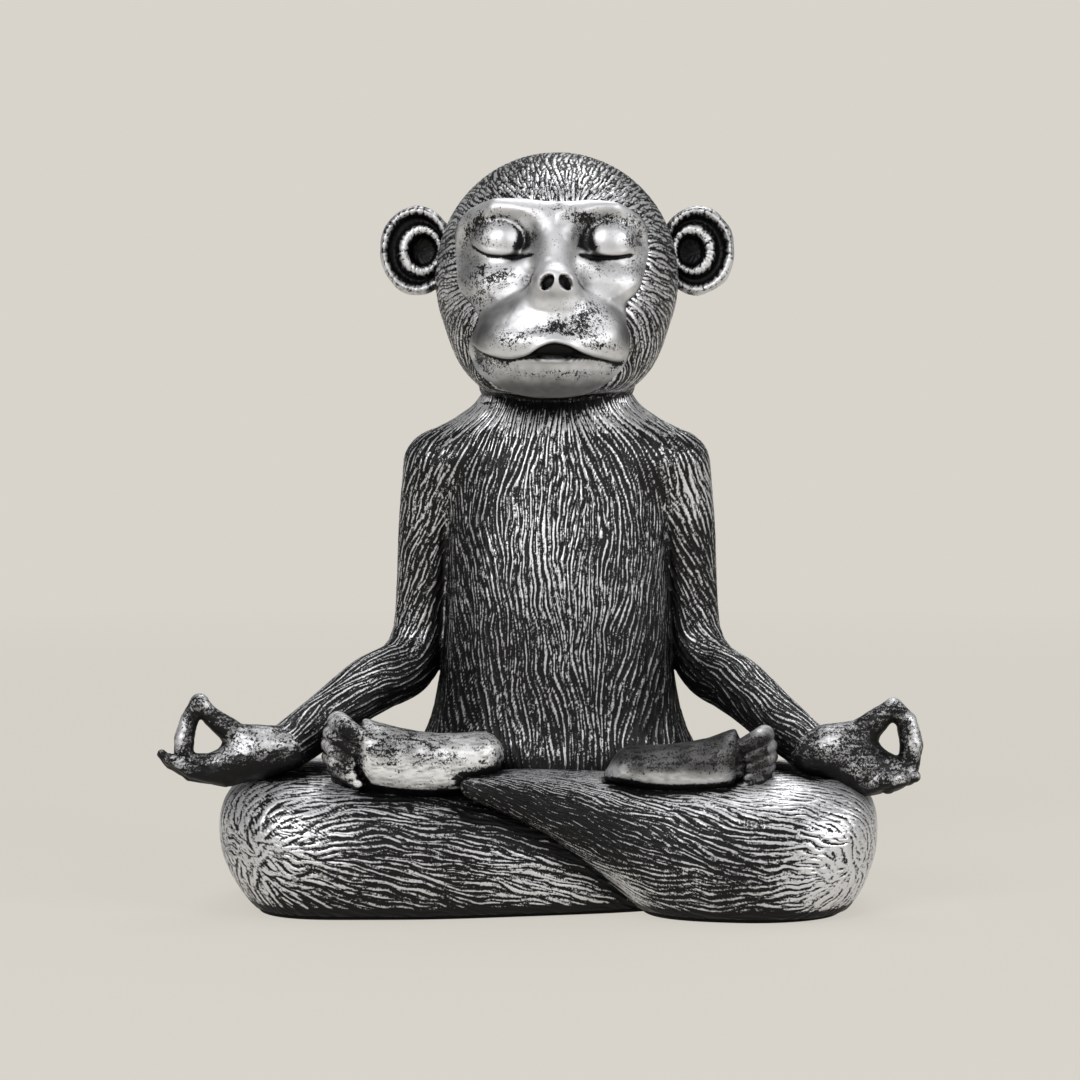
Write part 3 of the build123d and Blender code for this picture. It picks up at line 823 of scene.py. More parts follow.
@dataclass
class Trunk:
    """Trunk and neck, covered in long strokes that run down the chest."""

    figure: Figure
    surroundings: Distance
    coat: Coat = Coat(spacing=0.70, height=0.32, seed=11, wander=0.30, wander_size=7.0)
    top: float = 171.0
    bottom: float = 1.5
    front_step: float = 0.29
    back_step: float = 0.46
    row_step: float = 1.1
    fillet_reach: float = 6.5
    # Half width and half depth that the samples round the trunk are spread for
    typical: tuple = (38.0, 29.0)
    # How far the neck draws back into the head, and the levels between which it does
    neck_tuck: float = 1.6
    neck_levels: tuple = (161.0, 166.0)
    # Locks of hair round the trunk, as in the casting, with their share of the height at each level
    lock_height: float = 0.4
    locks: tuple = (
        1.0, -0.8, 0.7, -1.0, 0.9, -0.6, 1.0, -0.9, 0.7, -0.8, 1.0, -0.7, 0.8, -1.0,
        0.9, -0.7, 1.0, -0.8, 0.7, -0.9, 1.0, -1.0, 0.9, -0.8, 0.8, -0.9, 1.0, -0.8,
    )
    lock_share: tuple = (
        (10, 0.2), (30, 0.5), (60, 0.9), (80, 1.0), (120, 1.0), (145, 0.4), (160, 0.0),
    )
    # Level, and how far strokes lean out for each millimetre from the middle
    lean: tuple = (
        (40, -0.004), (60, -0.016), (85, -0.010), (110, -0.014), (125, -0.004), (140, 0.022),
        (155, 0.03), (165, 0.0),
    )

    def build(self) -> bpy.types.Object:
        """Makes the trunk.

        Returns:
            The finished piece.
        """
        scale = fineness()
        ring = np.stack([np.cos(TURN), np.sin(TURN)], axis=-1) * self.typical
        step = scale * blend(self.front_step, self.back_step, smooth_step(-4.0, 10.0, ring[:, 1]))
        angle = np.interp(spread_evenly(ring, step)[:-1], np.arange(len(TURN)), TURN)
        count = int((self.top - self.bottom) / (self.row_step * scale))
        level = np.linspace(self.bottom, self.top, count)
        sizes = self.figure.trunk_at(level)[:, None, :]
        out = np.stack([np.cos(angle), np.sin(angle)], axis=-1)[None]
        points = np.empty((len(level), len(angle), 3))
        points[..., 0] = out[..., 0] * sizes[..., 0]
        points[..., 1] = out[..., 1] * sizes[..., 1] + sizes[..., 2]
        points[..., 2] = level[:, None]
        skin = Skin(points)
        base = skin.normals()
        joint = self.figure.joint
        beyond = smooth_step(joint - 1.0, joint + 1.6, np.abs(points[..., 0]))
        reach = self.fillet_reach * (1 - beyond)
        skin.points = swell(skin.points, base, self.figure.upper_body, reach)
        places = np.append(self.locks, self.locks[0])
        wave = np.interp(angle * len(self.locks) / (2 * math.pi), np.arange(len(places)), places)
        fade = np.interp(level, *np.transpose(self.lock_share))
        tuck = self.neck_tuck * smooth_step(*self.neck_levels, points[..., 2])
        tuck = tuck - self.lock_height * fade[:, None] * wave
        skin.points = skin.points - base * tuck[..., None]
        hair, strokes, cover = self.hair(skin), self.strokes(skin), self.paint(skin)
        self.coat.style(skin, hair, strokes, self.surroundings, cover)
        skin.cap()
        return skin.to_object("torso")

    def hair(self, skin: Skin) -> Array:
        """Direction of the hair: out from under the chin, then down and in to the middle.

        Args:
            skin: The trunk's surface.

        Returns:
            Vectors at the points.
        """
        x, y, z = np.moveaxis(skin.points, -1, 0)
        spread = np.interp(z, *np.transpose(self.lean))
        tuft = 0.20 * grain(skin.points * (1, 1, 0.45), 17.0, 5)
        front = smooth_step(12.0, -6.0, y)
        return np.stack([(spread * x + tuft * front), 0 * x, -np.ones_like(x)], axis=-1)

    def strokes(self, skin: Skin) -> Array:
        """Length of the strokes: long down the chest, shorter at the sides and back.

        Args:
            skin: The piece's surface.

        Returns:
            Length at each point.
        """
        beside, behind = np.abs(skin.points[..., 0]), skin.points[..., 1]
        middle = smooth_step(34.0, 16.0, beside) * smooth_step(4.0, -10.0, behind)
        short, added = 6.5, 6.0
        return short + added * middle

    def paint(self, skin: Skin) -> Array:
        """Silver on the open fur: most on the throat, then the back and the chest, with a painted
        highlight on the chest.

        Args:
            skin: The piece's surface.

        Returns:
            Silver at each point, from 0 to about 1.
        """
        x, y, z = np.moveaxis(skin.points, -1, 0)
        chest = np.exp(-((np.abs(x) / 24.0) ** 2)) * smooth_step(8.0, -10.0, y)
        # Painted highlight where the light falls on the chest
        glow = np.exp(-(((x + 6.0) / 12.0) ** 2) - (((z - 119.0) / 16.0) ** 2)) * (y < 0)
        back = smooth_step(0.0, 12.0, y)
        neck = smooth_step(146.0, 158.0, z) * smooth_step(10.0, -6.0, y)
        return 0.29 + 0.17 * chest + 0.12 * glow + 0.22 * back + 0.80 * neck


@dataclass
class Arm:
    """Upper arm and forearm, with strokes that run down to the wrist."""

    figure: Figure
    surroundings: Distance
    side: Side
    coat: Coat = Coat(spacing=0.68, height=0.30, seed=31, wander=0.34)
    around_step: float = 0.29
    along_step: float = 0.62
    fillet_reach: float = 6.0
    # Radius that the samples round the arm are spread for, and length of the shoulder's round end
    typical: float = 9.3
    round_end: float = 17.6
    # Sideways turn of the strokes on the upper arm
    twist: float = 0.30

    def build(self) -> bpy.types.Object:
        """Makes the arm.

        Returns:
            The finished piece.
        """
        scale = fineness()
        fine = self.figure.arm_axis(self.side, 160)
        places = spread_evenly(fine[:, :3], self.along_step * scale)
        axis = look_up(places, np.arange(len(fine)), fine)
        middle, radius = axis[:, :3], axis[:, 3]
        ahead = unit(np.gradient(middle, axis=0), 0.0)
        count = int(self.round_end / (self.along_step * scale))
        polar = np.linspace(0.02, math.pi / 2, count)[:-1, None]
        middle = np.concatenate([middle[0] - ahead[0] * radius[0] * np.cos(polar), middle])
        radius = np.concatenate([radius[0] * np.sin(polar[:, 0]), radius])
        ahead = np.concatenate([np.broadcast_to(ahead[0], (len(polar), 3)), ahead])
        forward = np.array([0.0, -1.0, 0.15])
        upper = flatten(np.broadcast_to(forward, ahead.shape), ahead)
        aside = np.cross(ahead, upper)
        angle = ring_of(self.typical, self.around_step * scale)[None, :, None]
        rays = np.cos(angle) * upper[:, None] + np.sin(angle) * aside[:, None]
        points = middle[:, None] + rays * radius[:, None, None]
        skin = Skin(points)
        joint, out = self.figure.joint, self.side.value
        inside = smooth_step(joint + 1.0, joint - 1.6, points[..., 0] * out)
        reach = self.fillet_reach * (1 - inside)
        skin.points = swell(skin.points, skin.normals(), self.figure.upper_body, reach)
        along = np.broadcast_to(ahead[:, None], skin.points.shape)
        twist = self.twist * out
        swirl = np.cross(skin.normals(), along)
        hair = along + twist * swirl * smooth_step(60.0, 100.0, skin.points[..., 2])[..., None]
        self.coat.style(skin, hair, self.strokes(skin), self.surroundings, self.paint(skin))
        skin.cap()
        return skin.to_object(f"{self.side.word}_arm")

    def strokes(self, skin: Skin) -> Array:
        """Length of the strokes: short on the shoulder and long on the forearm."""
        short, added = 5.5, 5.0
        return short + added * smooth_step(100.0, 72.0, skin.points[..., 2])

    def paint(self, skin: Skin) -> Array:
        """Silver on the open fur, none of it along the underside of the forearm, as painted shade,
        and a painted highlight on the left shoulder.

        Args:
            skin: The piece's surface.

        Returns:
            Silver at each point, from 0 to about 1.
        """
        z = skin.points[..., 2]
        normal = skin.normals()
        # Painted shade: no silver on the underside of the forearm
        under = smooth_step(-0.15, -0.65, normal[..., 2]) * smooth_step(98.0, 84.0, z)
        # Painted shade: less silver on the side that faces the body
        inner = smooth_step(-0.3, -0.85, normal[..., 0] * self.side.value)
        # More silver on the left shoulder: denser brushing, and a painted highlight where the light
        # falls
        wear_and_highlight = np.exp(-(((z - 132.0) / 9.0) ** 2)) if self.side is Side.LEFT else 0.0
        return np.clip((0.45 + 0.24 * wear_and_highlight) * (1 - under) * (1 - 0.6 * inner), 0, 1)


# Distance from the middle, level and reach of the whorl on each knee
WHORLS = {Side.LEFT: (89.0, 17.0, 20.0), Side.RIGHT: (92.0, 20.0, 38.0)}


@dataclass
class Leg:
    """Folded leg: knee, thigh and shin in one lobe, with strokes that sweep across it."""

    fold: Fold
    surroundings: Distance
    coat: Coat = Coat(spacing=0.60, height=0.28, seed=51, wander=0.36, wander_size=5.5)
    front_step: float = 0.31
    hidden_step: float = 1.05
    along_step: float = 0.95
    # Half depth and half height that the samples round the leg are spread for
    typical: tuple = (45.0, 26.0)
    # Height and size of the slow unevenness
    swelling: tuple = (0.7, 26.0)
    # Above the leg's floor, where strokes fade into the plain edge that stands on the felt
    plain_edge: tuple = (3.2, 1.2)

    def build(self) -> bpy.types.Object:
        """Makes the leg.

        Returns:
            The finished piece.
        """
        scale = fineness()
        side = self.fold.side
        table = spline(np.array(self.fold.rows), 500)
        out, low, high, front, back = table.T
        path = np.stack([out, 0.5 * (high - low), 0.5 * (back - front)], axis=-1)
        places = spread_evenly(path, self.along_step * scale)
        rows = look_up(places, np.arange(len(table)), table)
        power = 2 / self.fold.squareness
        shape = np.stack([np.cos(TURN), np.sin(TURN)], axis=-1)
        shape = np.sign(shape) * np.abs(shape) ** power
        typical = shape * self.typical
        hidden = np.maximum(smooth_step(12.0, 30.0, typical[:, 0]), typical[:, 1] < -20.0)
        step = scale * blend(self.front_step, self.hidden_step, hidden)
        spots = spread_evenly(typical, step)[:-1]
        ring = look_up(spots, np.arange(len(TURN)), shape)
        out, low, high, front, back = rows.T[..., None]
        points = np.empty((len(rows), len(ring), 3))
        points[..., 0] = side.value * out
        points[..., 1] = (back + front) / 2 + (back - front) / 2 * ring[:, 0]
        points[..., 2] = (high + low) / 2 + (high - low) / 2 * ring[:, 1]
        if side is Side.LEFT:
            points = points[:, ::-1]
        skin = Skin(points[::-1])
        skin.points = self.shape(skin)
        cover = self.paint(skin)
        self.coat.style(skin, self.hair(skin), self.strokes(skin), self.surroundings, cover)
        foot = self.fold.floor
        edge = smooth_step(*self.plain_edge, skin.points[..., 2] - foot)
        skin.ridge = skin.ridge * (1 - edge) - 2.0 * edge
        skin.points[..., 2] = np.maximum(skin.points[..., 2], foot)
        skin.cap()
        return skin.to_object(f"{side.word}_leg")

    def shape(self, skin: Skin) -> Array:
        """Points with the slow unevenness of a hand-modelled form.

        Args:
            skin: The piece's surface.

        Returns:
            The moved points.
        """
        height, size = self.swelling
        swell_by = height * grain(skin.points, size, self.coat.seed + 20)
        return skin.points + skin.normals() * swell_by[..., None]

    def hair(self, skin: Skin) -> Array:
        """Direction of the hair: out of the whorl on the knee and along the shin.

        Args:
            skin: The leg's surface.

        Returns:
            Vectors at the points.
        """
        x, z = skin.points[..., 0], skin.points[..., 2]
        out = x * self.fold.side.value
        whorl_out, whorl_level, spread = WHORLS[self.fold.side]
        away = np.hypot(out - whorl_out, (z - whorl_level) * 1.2)
        near = 0.85 * np.exp(-((away / spread) ** 2))
        radial = unit(np.stack([out - whorl_out, 0 * x, (z - whorl_level) * 0.9], axis=-1), 1e-6)
        if self.fold.side is Side.LEFT:
            slope = 0.62 * smooth_step(8.0, 34.0, z) * smooth_step(84.0, 40.0, out)
        else:
            rise = 0.34 * smooth_step(58.0, 74.0, out) - 0.30 * smooth_step(62.0, 44.0, out)
            level_slope = np.interp(z, (4, 20, 36), (-0.34, -0.16, 0.0))
            slope = level_slope + smooth_step(20.0, 36.0, z) * rise
            slope = slope * smooth_step(86.0, 70.0, out)
        shin = unit(np.stack([-np.ones_like(x), 0 * x, slope], axis=-1), 0.0)
        hair = shin * (1 - near[..., None]) + radial * near[..., None]
        tangle = 1.6 * np.exp(-((away / 13.0) ** 2)) * grain(skin.points, 3.5, self.coat.seed + 3)
        hair[..., 2] += tangle
        hair[..., 0] *= self.fold.side.value
        return hair

    def strokes(self, skin: Skin) -> Array:
        """Length of the strokes: short at the knee's whorl, longer over the shin.

        Args:
            skin: The piece's surface.

        Returns:
            Length at each point.
        """
        short, added = 4.0, 3.6
        out = skin.points[..., 0] * self.fold.side.value
        return short + added * smooth_step(86.0, 60.0, out)

    def paint(self, skin: Skin) -> Array:
        """Silver on the open fur, worn brightest at the knee, where it also paints a highlight,
        with painted shade near the floor and at the left leg's inner end.

        Args:
            skin: The piece's surface.

        Returns:
            Silver at each point, from 0 to about 1.
        """
        x, y, z = np.moveaxis(skin.points, -1, 0)
        out = x * self.fold.side.value
        left = 1.0 if self.fold.side is Side.LEFT else 0.0
        level = 22.0 - 5.0 * left
        # Silver worn brightest on the front of the knee, which also paints a highlight there
        knee = np.exp(-(((out - 84.0) / 13.0) ** 2) - (((z - level) / 10.0) ** 2)) * (y < 0)
        # Painted shade near the floor and at the left leg's inner end
        low = smooth_step(12.0, 2.0, z)
        tip = left * smooth_step(22.0, 4.0, out)
        most = 0.82 + 0.20 * left + (0.28 - 0.16 * left) * knee
        return np.clip(most - 0.22 * low - 0.40 * tip, 0, 1.1)


# Head, face and ears


@dataclass(frozen=True)
class Mask:
    """Border between the bare face and the fur, as seen from the front."""

    middle: tuple = (-1.0, 192.0)
    # X and Z of points along the border
    border: tuple = (
        (-30.1, 218.7), (-25.4, 222.3), (-17.2, 223.1), (-9.9, 222.8), (-4.2, 221.8), (-0.4, 221.8),
        (4.6, 221.8), (10.3, 222.3), (17.4, 221.8), (22.9, 219.9), (27.0, 216.3), (28.6, 209.8),
        (29.1, 205.8), (27.0, 200.1), (24.7, 194.5), (20.4, 190.5), (21.4, 184.0), (22.6, 178.4),
        (22.3, 173.5), (21.4, 171.1), (16.6, 165.6), (8.6, 161.9), (-1.1, 160.8), (-12.5, 161.9),
        (-20.4, 164.6), (-26.0, 169.5), (-28.2, 177.6), (-27.0, 179.2), (-23.7, 185.6),
        (-27.0, 191.7), (-30.1, 193.7), (-31.4, 196.9), (-32.1, 205.8), (-31.7, 213.0),
    )

    def radius(self, angle: Array) -> Array:
        """Distance of the border from the middle in each direction.

        Args:
            angle: Directions in the front view.

        Returns:
            The distance there.
        """
        offset = np.array(self.border) - self.middle
        turn = np.arctan2(offset[:, 1], offset[:, 0])
        dense = np.linspace(-math.pi, math.pi, 361)
        whole = 2 * math.pi
        rough = np.interp(dense, turn, np.hypot(*offset.T), period=whole)
        shifts = (-0.05, 0, 0.05)
        smooth = sum(np.interp(dense + shift, dense, rough, period=whole) for shift in shifts)
        return np.interp(angle, dense, smooth / len(shifts), period=whole)

    def edge_gap(self, points: Array) -> Array:
        """Distance from the border, negative on the face.

        Args:
            points: Points, with X, Y and Z last.

        Returns:
            The distance in the front view.
        """
        across, up = points[..., 0] - self.middle[0], points[..., 2] - self.middle[1]
        angle = np.arctan2(up, across)
        edge, near = self.radius(angle), 0.04
        slope = (self.radius(angle + near) - self.radius(angle - near)) / (2 * near) / edge
        return (np.hypot(across, up) - edge) / np.sqrt(1 + slope**2)


@dataclass
class Head:
    """Skull, cheeks, jaw and throat, with short strokes that spread from the face."""

    figure: Figure
    surroundings: Distance
    mask: Mask
    coat: Coat = Coat(spacing=0.57, height=0.26, seed=71, wander=0.32, wander_size=5.0)
    column_step: float = 0.37
    front_step: float = 0.66
    back_step: float = 1.0
    # Level at which the throat ends inside the neck, and how far the fur reaches over the face
    lowest: float = 158.0
    overlap: float = 1.9
    # Radii that the samples round the face's border and from the face to the back are spread for
    typical: float = 39.0
    typical_back: float = 42.0
    # Place that the strokes spread from
    whorl: tuple = (0.0, -42.0, 208.0)

    def build(self) -> bpy.types.Object:
        """Makes the furred part of the head.

        Returns:
            The finished piece.
        """
        scale = fineness()
        form = self.figure.neck_and_head
        middle = np.array([self.mask.middle[0], 0.0, self.mask.middle[1]])
        turn = ring_of(self.typical, self.column_step * scale)
        edge = self.mask.radius(turn) - self.overlap
        start = middle + np.stack([edge * np.cos(turn), 0 * turn, edge * np.sin(turn)], axis=-1)
        rim = meet(start, np.broadcast_to(STRAIGHT_AHEAD, start.shape), form, -40, 60)
        first, last = np.arctan2(edge, middle[1] - rim[:, 1]), math.pi - 0.01
        typical = np.linspace(0.8, last, 600)
        path = self.typical_back * np.stack([np.cos(typical), np.sin(typical)], axis=-1)
        behind = smooth_step(1.6, 2.3, typical)
        step = scale * blend(self.front_step, self.back_step, behind)
        share = (spread_evenly(path, step) / (len(typical) - 1))[:, None]
        polar = first + share * (last - first)
        aims = np.stack(
            [np.sin(polar) * np.cos(turn), -np.cos(polar), np.sin(polar) * np.sin(turn)], axis=-1
        )
        fall = np.minimum(aims[..., 2], -0.05)
        floor = np.where(aims[..., 2] < -0.05, (self.lowest - middle[2]) / fall, FAR)
        starts = np.broadcast_to(middle, aims.shape)
        points = meet(starts, aims, form, 5.0, 75.0)
        reach = np.linalg.norm(points - middle, axis=-1)
        points = starts + aims * np.minimum(reach, floor)[..., None]
        skin = Skin(points[:, ::-1])
        gap = self.mask.edge_gap(skin.points)
        hair, strokes, cover = self.hair(skin), self.strokes(skin), self.paint(skin, gap)
        self.coat.style(skin, hair, strokes, self.surroundings, cover)
        front = skin.points[..., 1] < 5.0
        lift = 0.75 * smooth_step(-1.0, 2.4, gap) - 1.5 * smooth_step(0.3, -1.8, gap)
        lift = np.where(front, lift, 0.75) - 2.0 * smooth_step(164.0, 160.0, skin.points[..., 2])
        skin.points = skin.points + skin.normals() * lift[..., None]
        skin.cap(first=middle)
        return skin.to_object("head")

    def hair(self, skin: Skin) -> Array:
        """Direction of the hair: away from the face, and down over the throat.

        Args:
            skin: The head's surface.

        Returns:
            Vectors at the points.
        """
        away = unit(skin.points - np.array(self.whorl), 0.0)
        down = np.array([0.0, 0.0, -1.0])
        low = smooth_step(192.0, 166.0, skin.points[..., 2])[..., None]
        behind = smooth_step(5.0, 30.0, skin.points[..., 1])[..., None]
        share = np.maximum(low, behind)
        return away * (1 - share) + down * share

    def strokes(self, skin: Skin) -> Array:
        """Length of the strokes: short on the skull, longer on the cheeks and throat."""
        short, added = 4.2, 3.6
        return short + added * smooth_step(208.0, 188.0, skin.points[..., 2])

    def paint(self, skin: Skin, gap: Array) -> Array:
        """Silver on the open fur, a little more of it next to the face.

        Args:
            skin: The piece's surface.
            gap: Distance from the face's border.

        Returns:
            Silver at each point, from 0 to about 1.
        """
        z = skin.points[..., 2]
        near = smooth_step(9.0, 1.0, gap) * smooth_step(178.0, 190.0, z)
        throat = smooth_step(172.0, 162.0, z)
        return np.clip(0.48 + 0.12 * near - 0.05 * throat, 0, 1)


@dataclass
class Face:
    """Bare face: brow, closed eyes, nose, cheeks, muzzle, mouth and chin."""

    figure: Figure
    surroundings: Distance
    mask: Mask
    column_step: float = 0.40
    row_step: float = 0.40
    # How far the face reaches under the fur
    overlap: float = 2.6
    # Radius that the samples round the face are spread for
    typical: float = 29.0
    # X of the line that brow, eyes and cheeks mirror on
    middle: float = -0.8
    # Ends and end radii of the brow's two rods on each side, of the cheek and of the nose's bridge
    brow: tuple = (
        ((30.0, -13.0, 214.0), (18.0, -24.5, 219.5), 4.2, 4.2),
        ((18.0, -24.5, 219.5), (4.5, -28.0, 217.5), 4.2, 4.4),
    )
    cheek: tuple = ((16.8, -18.2, 195.6), (22.0, -14.6, 185.0), 12.6, 8.0)
    bridge: tuple = ((-0.8, -26.0, 217.0), (-1.2, -36.8, 201.0), 4.2, 5.4)
    # Centre and radii of the eye socket, of the closed eye in it and of the nose's tip
    socket: tuple = ((17.0, -38.4, 210.5), (11.6, 13.6, 11.0))
    eye: tuple = ((16.7, -20.2, 209.5), (9.9, 10.4, 8.9))
    tip: tuple = ((-1.0, -42.2, 196.0), (6.9, 5.2, 5.2))
    # X and Z along the lid lines
    lids: tuple = (
        ((-26.9, 208.4), (-23.7, 205.9), (-20.4, 204.8), (-14.0, 204.6), (-7.6, 205.2)),
        ((7.0, 205.2), (12.0, 204.5), (18.0, 204.4), (23.6, 205.4)),
    )
    # Half heights of the groove on a lid line and of the fold above it
    lid_groove: float = 0.42
    lid_fold: float = 0.9
    # X and Z along the upper lip's edge
    lip: tuple = (
        (-27.4, 178.2), (-24.8, 175.4), (-21.4, 173.6), (-15.5, 172.2), (-9.8, 173.2),
        (-5.1, 175.8), (-1.3, 177.0), (3.1, 176.1), (7.6, 174.0), (14.3, 172.2), (19.6, 171.7),
        (22.4, 174.2), (23.6, 177.0),
    )
    # X and lean of each nostril, with their level, half width and half height
    nostrils: tuple = ((-3.3, -0.3), (2.4, 0.3))
    nostril_level: float = 195.8
    nostril_size: tuple = (1.9, 2.35)

    # X, Z, half width, half height and strength of places with little silver
    thin: tuple = (
        (-26.6, 212, 5, 7, 0.44), (-20.7, 216.6, 7, 2.6, 0.44), (-24, 199.4, 8, 5, 0.36),
        (-16, 198, 6, 3, 0.24), (-25, 191, 5, 5, 0.36), (6.4, 212.4, 3, 6, 0.36),
        (15.8, 216.6, 9, 2.4, 0.46), (24.7, 211, 4, 6, 0.44), (11, 200.8, 6, 3, 0.34),
        (24, 200, 5, 5, 0.22), (-7.4, 211, 2.6, 6, 0.32), (9.8, 186.7, 7, 5, 0.42),
        (2.3, 181.8, 9, 3.2, 0.54), (-14, 178.5, 8, 3, 0.38), (12.8, 176.5, 8, 2.8, 0.38),
        (-20.8, 171.4, 6, 3, 0.30), (1, 168, 14, 3, 0.28), (0.2, 218.8, 5, 2.5, 0.26),
        (8.3, 217.4, 4, 2, 0.26), (-1, 204, 3, 7, 0.16),
    )
    # The same for places where the silver is dimmed as painted shade: in the sockets, beside and
    # under the nose, on the muzzle's flanks, at the mouth's corners and at the face's sides
    dark: tuple = (
        (-22, 183.6, 5.0, 7, 0.60), (-15, 190.2, 4, 4, 0.45), (21.7, 182.4, 4.0, 6, 0.55),
        (17.6, 190, 3.5, 4.5, 0.45), (-7.0, 210.0, 2.4, 6.5, 0.65), (5.4, 211.0, 2.4, 6.5, 0.60),
        (-14, 218.2, 8, 1.8, 0.28), (14, 217.6, 8, 1.8, 0.28), (-0.9, 191.8, 5, 1.6, 0.35),
        (-28, 203, 4.5, 12, 0.40), (28, 203, 4.5, 12, 0.35), (-9.5, 196.5, 3.0, 4, 0.40),
        (8.0, 196.5, 3.0, 4, 0.40), (-25.5, 179, 3, 4, 0.45), (22.5, 178, 3, 4, 0.40),
        (-27, 215, 5, 4, 0.18), (0, 213.5, 4, 3, 0.10),
    )

    def distance(self, points: Array) -> Array:
        """Distance to the face with its main forms.

        Args:
            points: Points, with X, Y and Z last.

        Returns:
            Distance at each point.
        """
        mirrored = points.copy()
        mirrored[..., 0] = np.abs(mirrored[..., 0] - self.middle)
        outer, inner = (limb(mirrored, *rod) for rod in self.brow)
        form = merge(self.figure.neck_and_head(points), np.minimum(outer, inner), 5.0)
        form = carve(form, egg(mirrored, *self.socket), 2.4)
        form = merge(form, egg(mirrored, *self.eye), 1.2)
        # Sharp under the eye and soft from there down
        soft = 1.6 + 6.0 * smooth_step(203.0, 196.0, points[..., 2])
        form = merge(form, limb(mirrored, *self.cheek), soft)
        form = merge(form, limb(points, *self.bridge), 4.5)
        return merge(form, egg(points, *self.tip), 2.6)

    def features(self, points: Array) -> Array:
        """Fine relief: lid lines, mouth, nostrils and the unevenness of hand-modelled skin.

        Args:
            points: Points on the face.

        Returns:
            Height to add towards the viewer.
        """
        x, y, z = np.moveaxis(points, -1, 0)
        height = np.zeros_like(x)
        for line in self.lids:
            knots = spline(np.array(line), 60)
            level = np.interp(x, knots[:, 0], knots[:, 1])
            start, end = line[0][0], line[-1][0]
            inside = smooth_step(start - 0.8, start + 1.2, x) * smooth_step(end + 0.8, end - 1.2, x)
            height -= 1.0 * inside * np.exp(-(((z - level) / self.lid_groove) ** 2))
            height += 0.45 * inside * np.exp(-(((z - level - 1.3) / self.lid_fold) ** 2))
        knots = spline(np.array(self.lip), 160)
        lip = np.interp(x, knots[:, 0], knots[:, 1])
        middle = smooth_step(-18.0, -13.0, x) * smooth_step(16.0, 11.0, x)
        low = lip - 0.6 - np.maximum(lip - 172.5, 0.0) * middle
        across = smooth_step(-28.5, -25.5, x) * smooth_step(24.5, 22.0, x)
        inside = smooth_step(lip + 0.2, lip - 0.3, z) * smooth_step(low - 0.4, low + 0.3, z)
        height -= (0.9 + 2.7 * smooth_step(1.0, 3.5, lip - low)) * across * inside
        height += 0.35 * across * np.exp(-(((z - lip - 0.9) / 0.8) ** 2))
        height -= 0.6 * across * smooth_step(lip, lip - 0.8, z) * smooth_step(163.0, 169.0, z)
        half_width, half_height = self.nostril_size
        for nostril, lean in self.nostrils:
            up = z - self.nostril_level
            hole = (((x - nostril) + lean * up) / half_width) ** 2 + (up / half_height) ** 2
            height -= 3.0 * smooth_step(1.3, 0.6, hole) * (y < -38)
        height += 0.11 * grain(points, 3.4, 91) + 0.06 * grain(points, 1.3, 92)
        return height

    def build(self) -> bpy.types.Object:
        """Makes the face.

        Returns:
            The finished piece.
        """
        scale = fineness()
        turn = ring_of(self.typical, self.column_step * scale)
        edge = self.mask.radius(turn)
        rows = int(self.typical / (self.row_step * scale))
        inner = np.linspace(0.004, 1.0, rows)[:, None] * edge
        outer = edge + np.linspace(0.4, self.overlap, 6)[:, None]
        reach = np.concatenate([inner, outer])
        across, up = self.mask.middle
        starts = np.stack(
            [across + reach * np.cos(turn), np.zeros_like(reach), up + reach * np.sin(turn)],
            axis=-1,
        )
        aims = np.broadcast_to(STRAIGHT_AHEAD, starts.shape)
        skin = Skin(meet(starts, aims, self.distance, -20.0, 60.0)[:, ::-1])
        gap = self.mask.edge_gap(skin.points)
        relief = self.features(skin.points) * smooth_step(0.2, -2.0, gap)
        normals = skin.normals()
        toward = unit(normals + (0.0, -1.2, 0.0), 0.0)
        skin.points = skin.points + toward * relief[..., None]
        dip = 1.9 * smooth_step(-0.2, 2.4, gap)
        skin.points = skin.points - normals * dip[..., None]
        normals = skin.normals()
        shade = openness(skin.points, normals, self.hollows)
        fine = skin.blur(relief, 4, 4)
        skin.ridge = np.clip((relief - fine) / 0.25, -2.0, 2.0)
        edges = 0.3 * np.clip((relief - fine) / 0.4, -1.0, 1.0)
        # Less silver in hollows, as painted shade, and more on raised relief, where the brush
        # caught
        skin.cover = np.clip(self.paint(skin) * smooth_step(0.0, 0.7, shade) + edges, 0, 1)
        skin.tone = self.wash_and_shade(skin, shade)
        skin.cap(last=(across, 0.0, up))
        return skin.to_object("face")

    def hollows(self, points: Array) -> Array:
        """Distance to the face and to what is round it."""
        return np.minimum(self.distance(points), self.surroundings(points))

    def paint(self, skin: Skin) -> Array:
        """Silver on the face, worn to speckles where fingers and the brush went over it.

        Args:
            skin: The piece's surface.

        Returns:
            Silver at each point, from 0 to about 1.
        """
        wear_and_highlight = 0.7 * grain(skin.points, 2.0, 95) + 0.9 * grain(skin.points, 0.9, 96)
        wear_and_highlight = 0.45 + 0.55 * smooth_step(-1.0, 1.1, wear_and_highlight)
        return 0.54 - self.spread(skin, self.thin) * wear_and_highlight

    def wash_and_shade(self, skin: Skin, shade: Array) -> Array:
        """Brightness of the silver: a dark wash in hollows, and painted shade in hollows, at the
        sides and below.

        Args:
            skin: The piece's surface.
            shade: How open each point is.

        Returns:
            Brightness at each point, from 0 to 1.
        """
        # Painted shade in hollows, at the listed dark places and on the lower chin
        dim = self.spread(skin, self.dark) + 0.52 * smooth_step(174.0, 164.0, skin.points[..., 2])
        uneven = 0.10 * grain(skin.points, 5.0, 97) + 0.08 * grain(skin.points, 1.6, 98)
        return np.clip(0.08 + 0.96 * smooth_step(0.0, 0.7, shade) - dim + uneven, 0, 1) ** 1.5

    def spread(self, skin: Skin, places: tuple) -> Array:
        """Adds up soft oval places.

        Args:
            skin: The face's surface.
            places: X, Z, half width, half height and strength of each place.

        Returns:
            The sum at each point.
        """
        across, up = skin.points[..., 0], skin.points[..., 2]
        total = np.zeros_like(across)
        for x, z, wide, high, amount in places:
            total += amount * np.exp(-(((across - x) / wide) ** 2 + ((up - z) / high) ** 2))
        return total


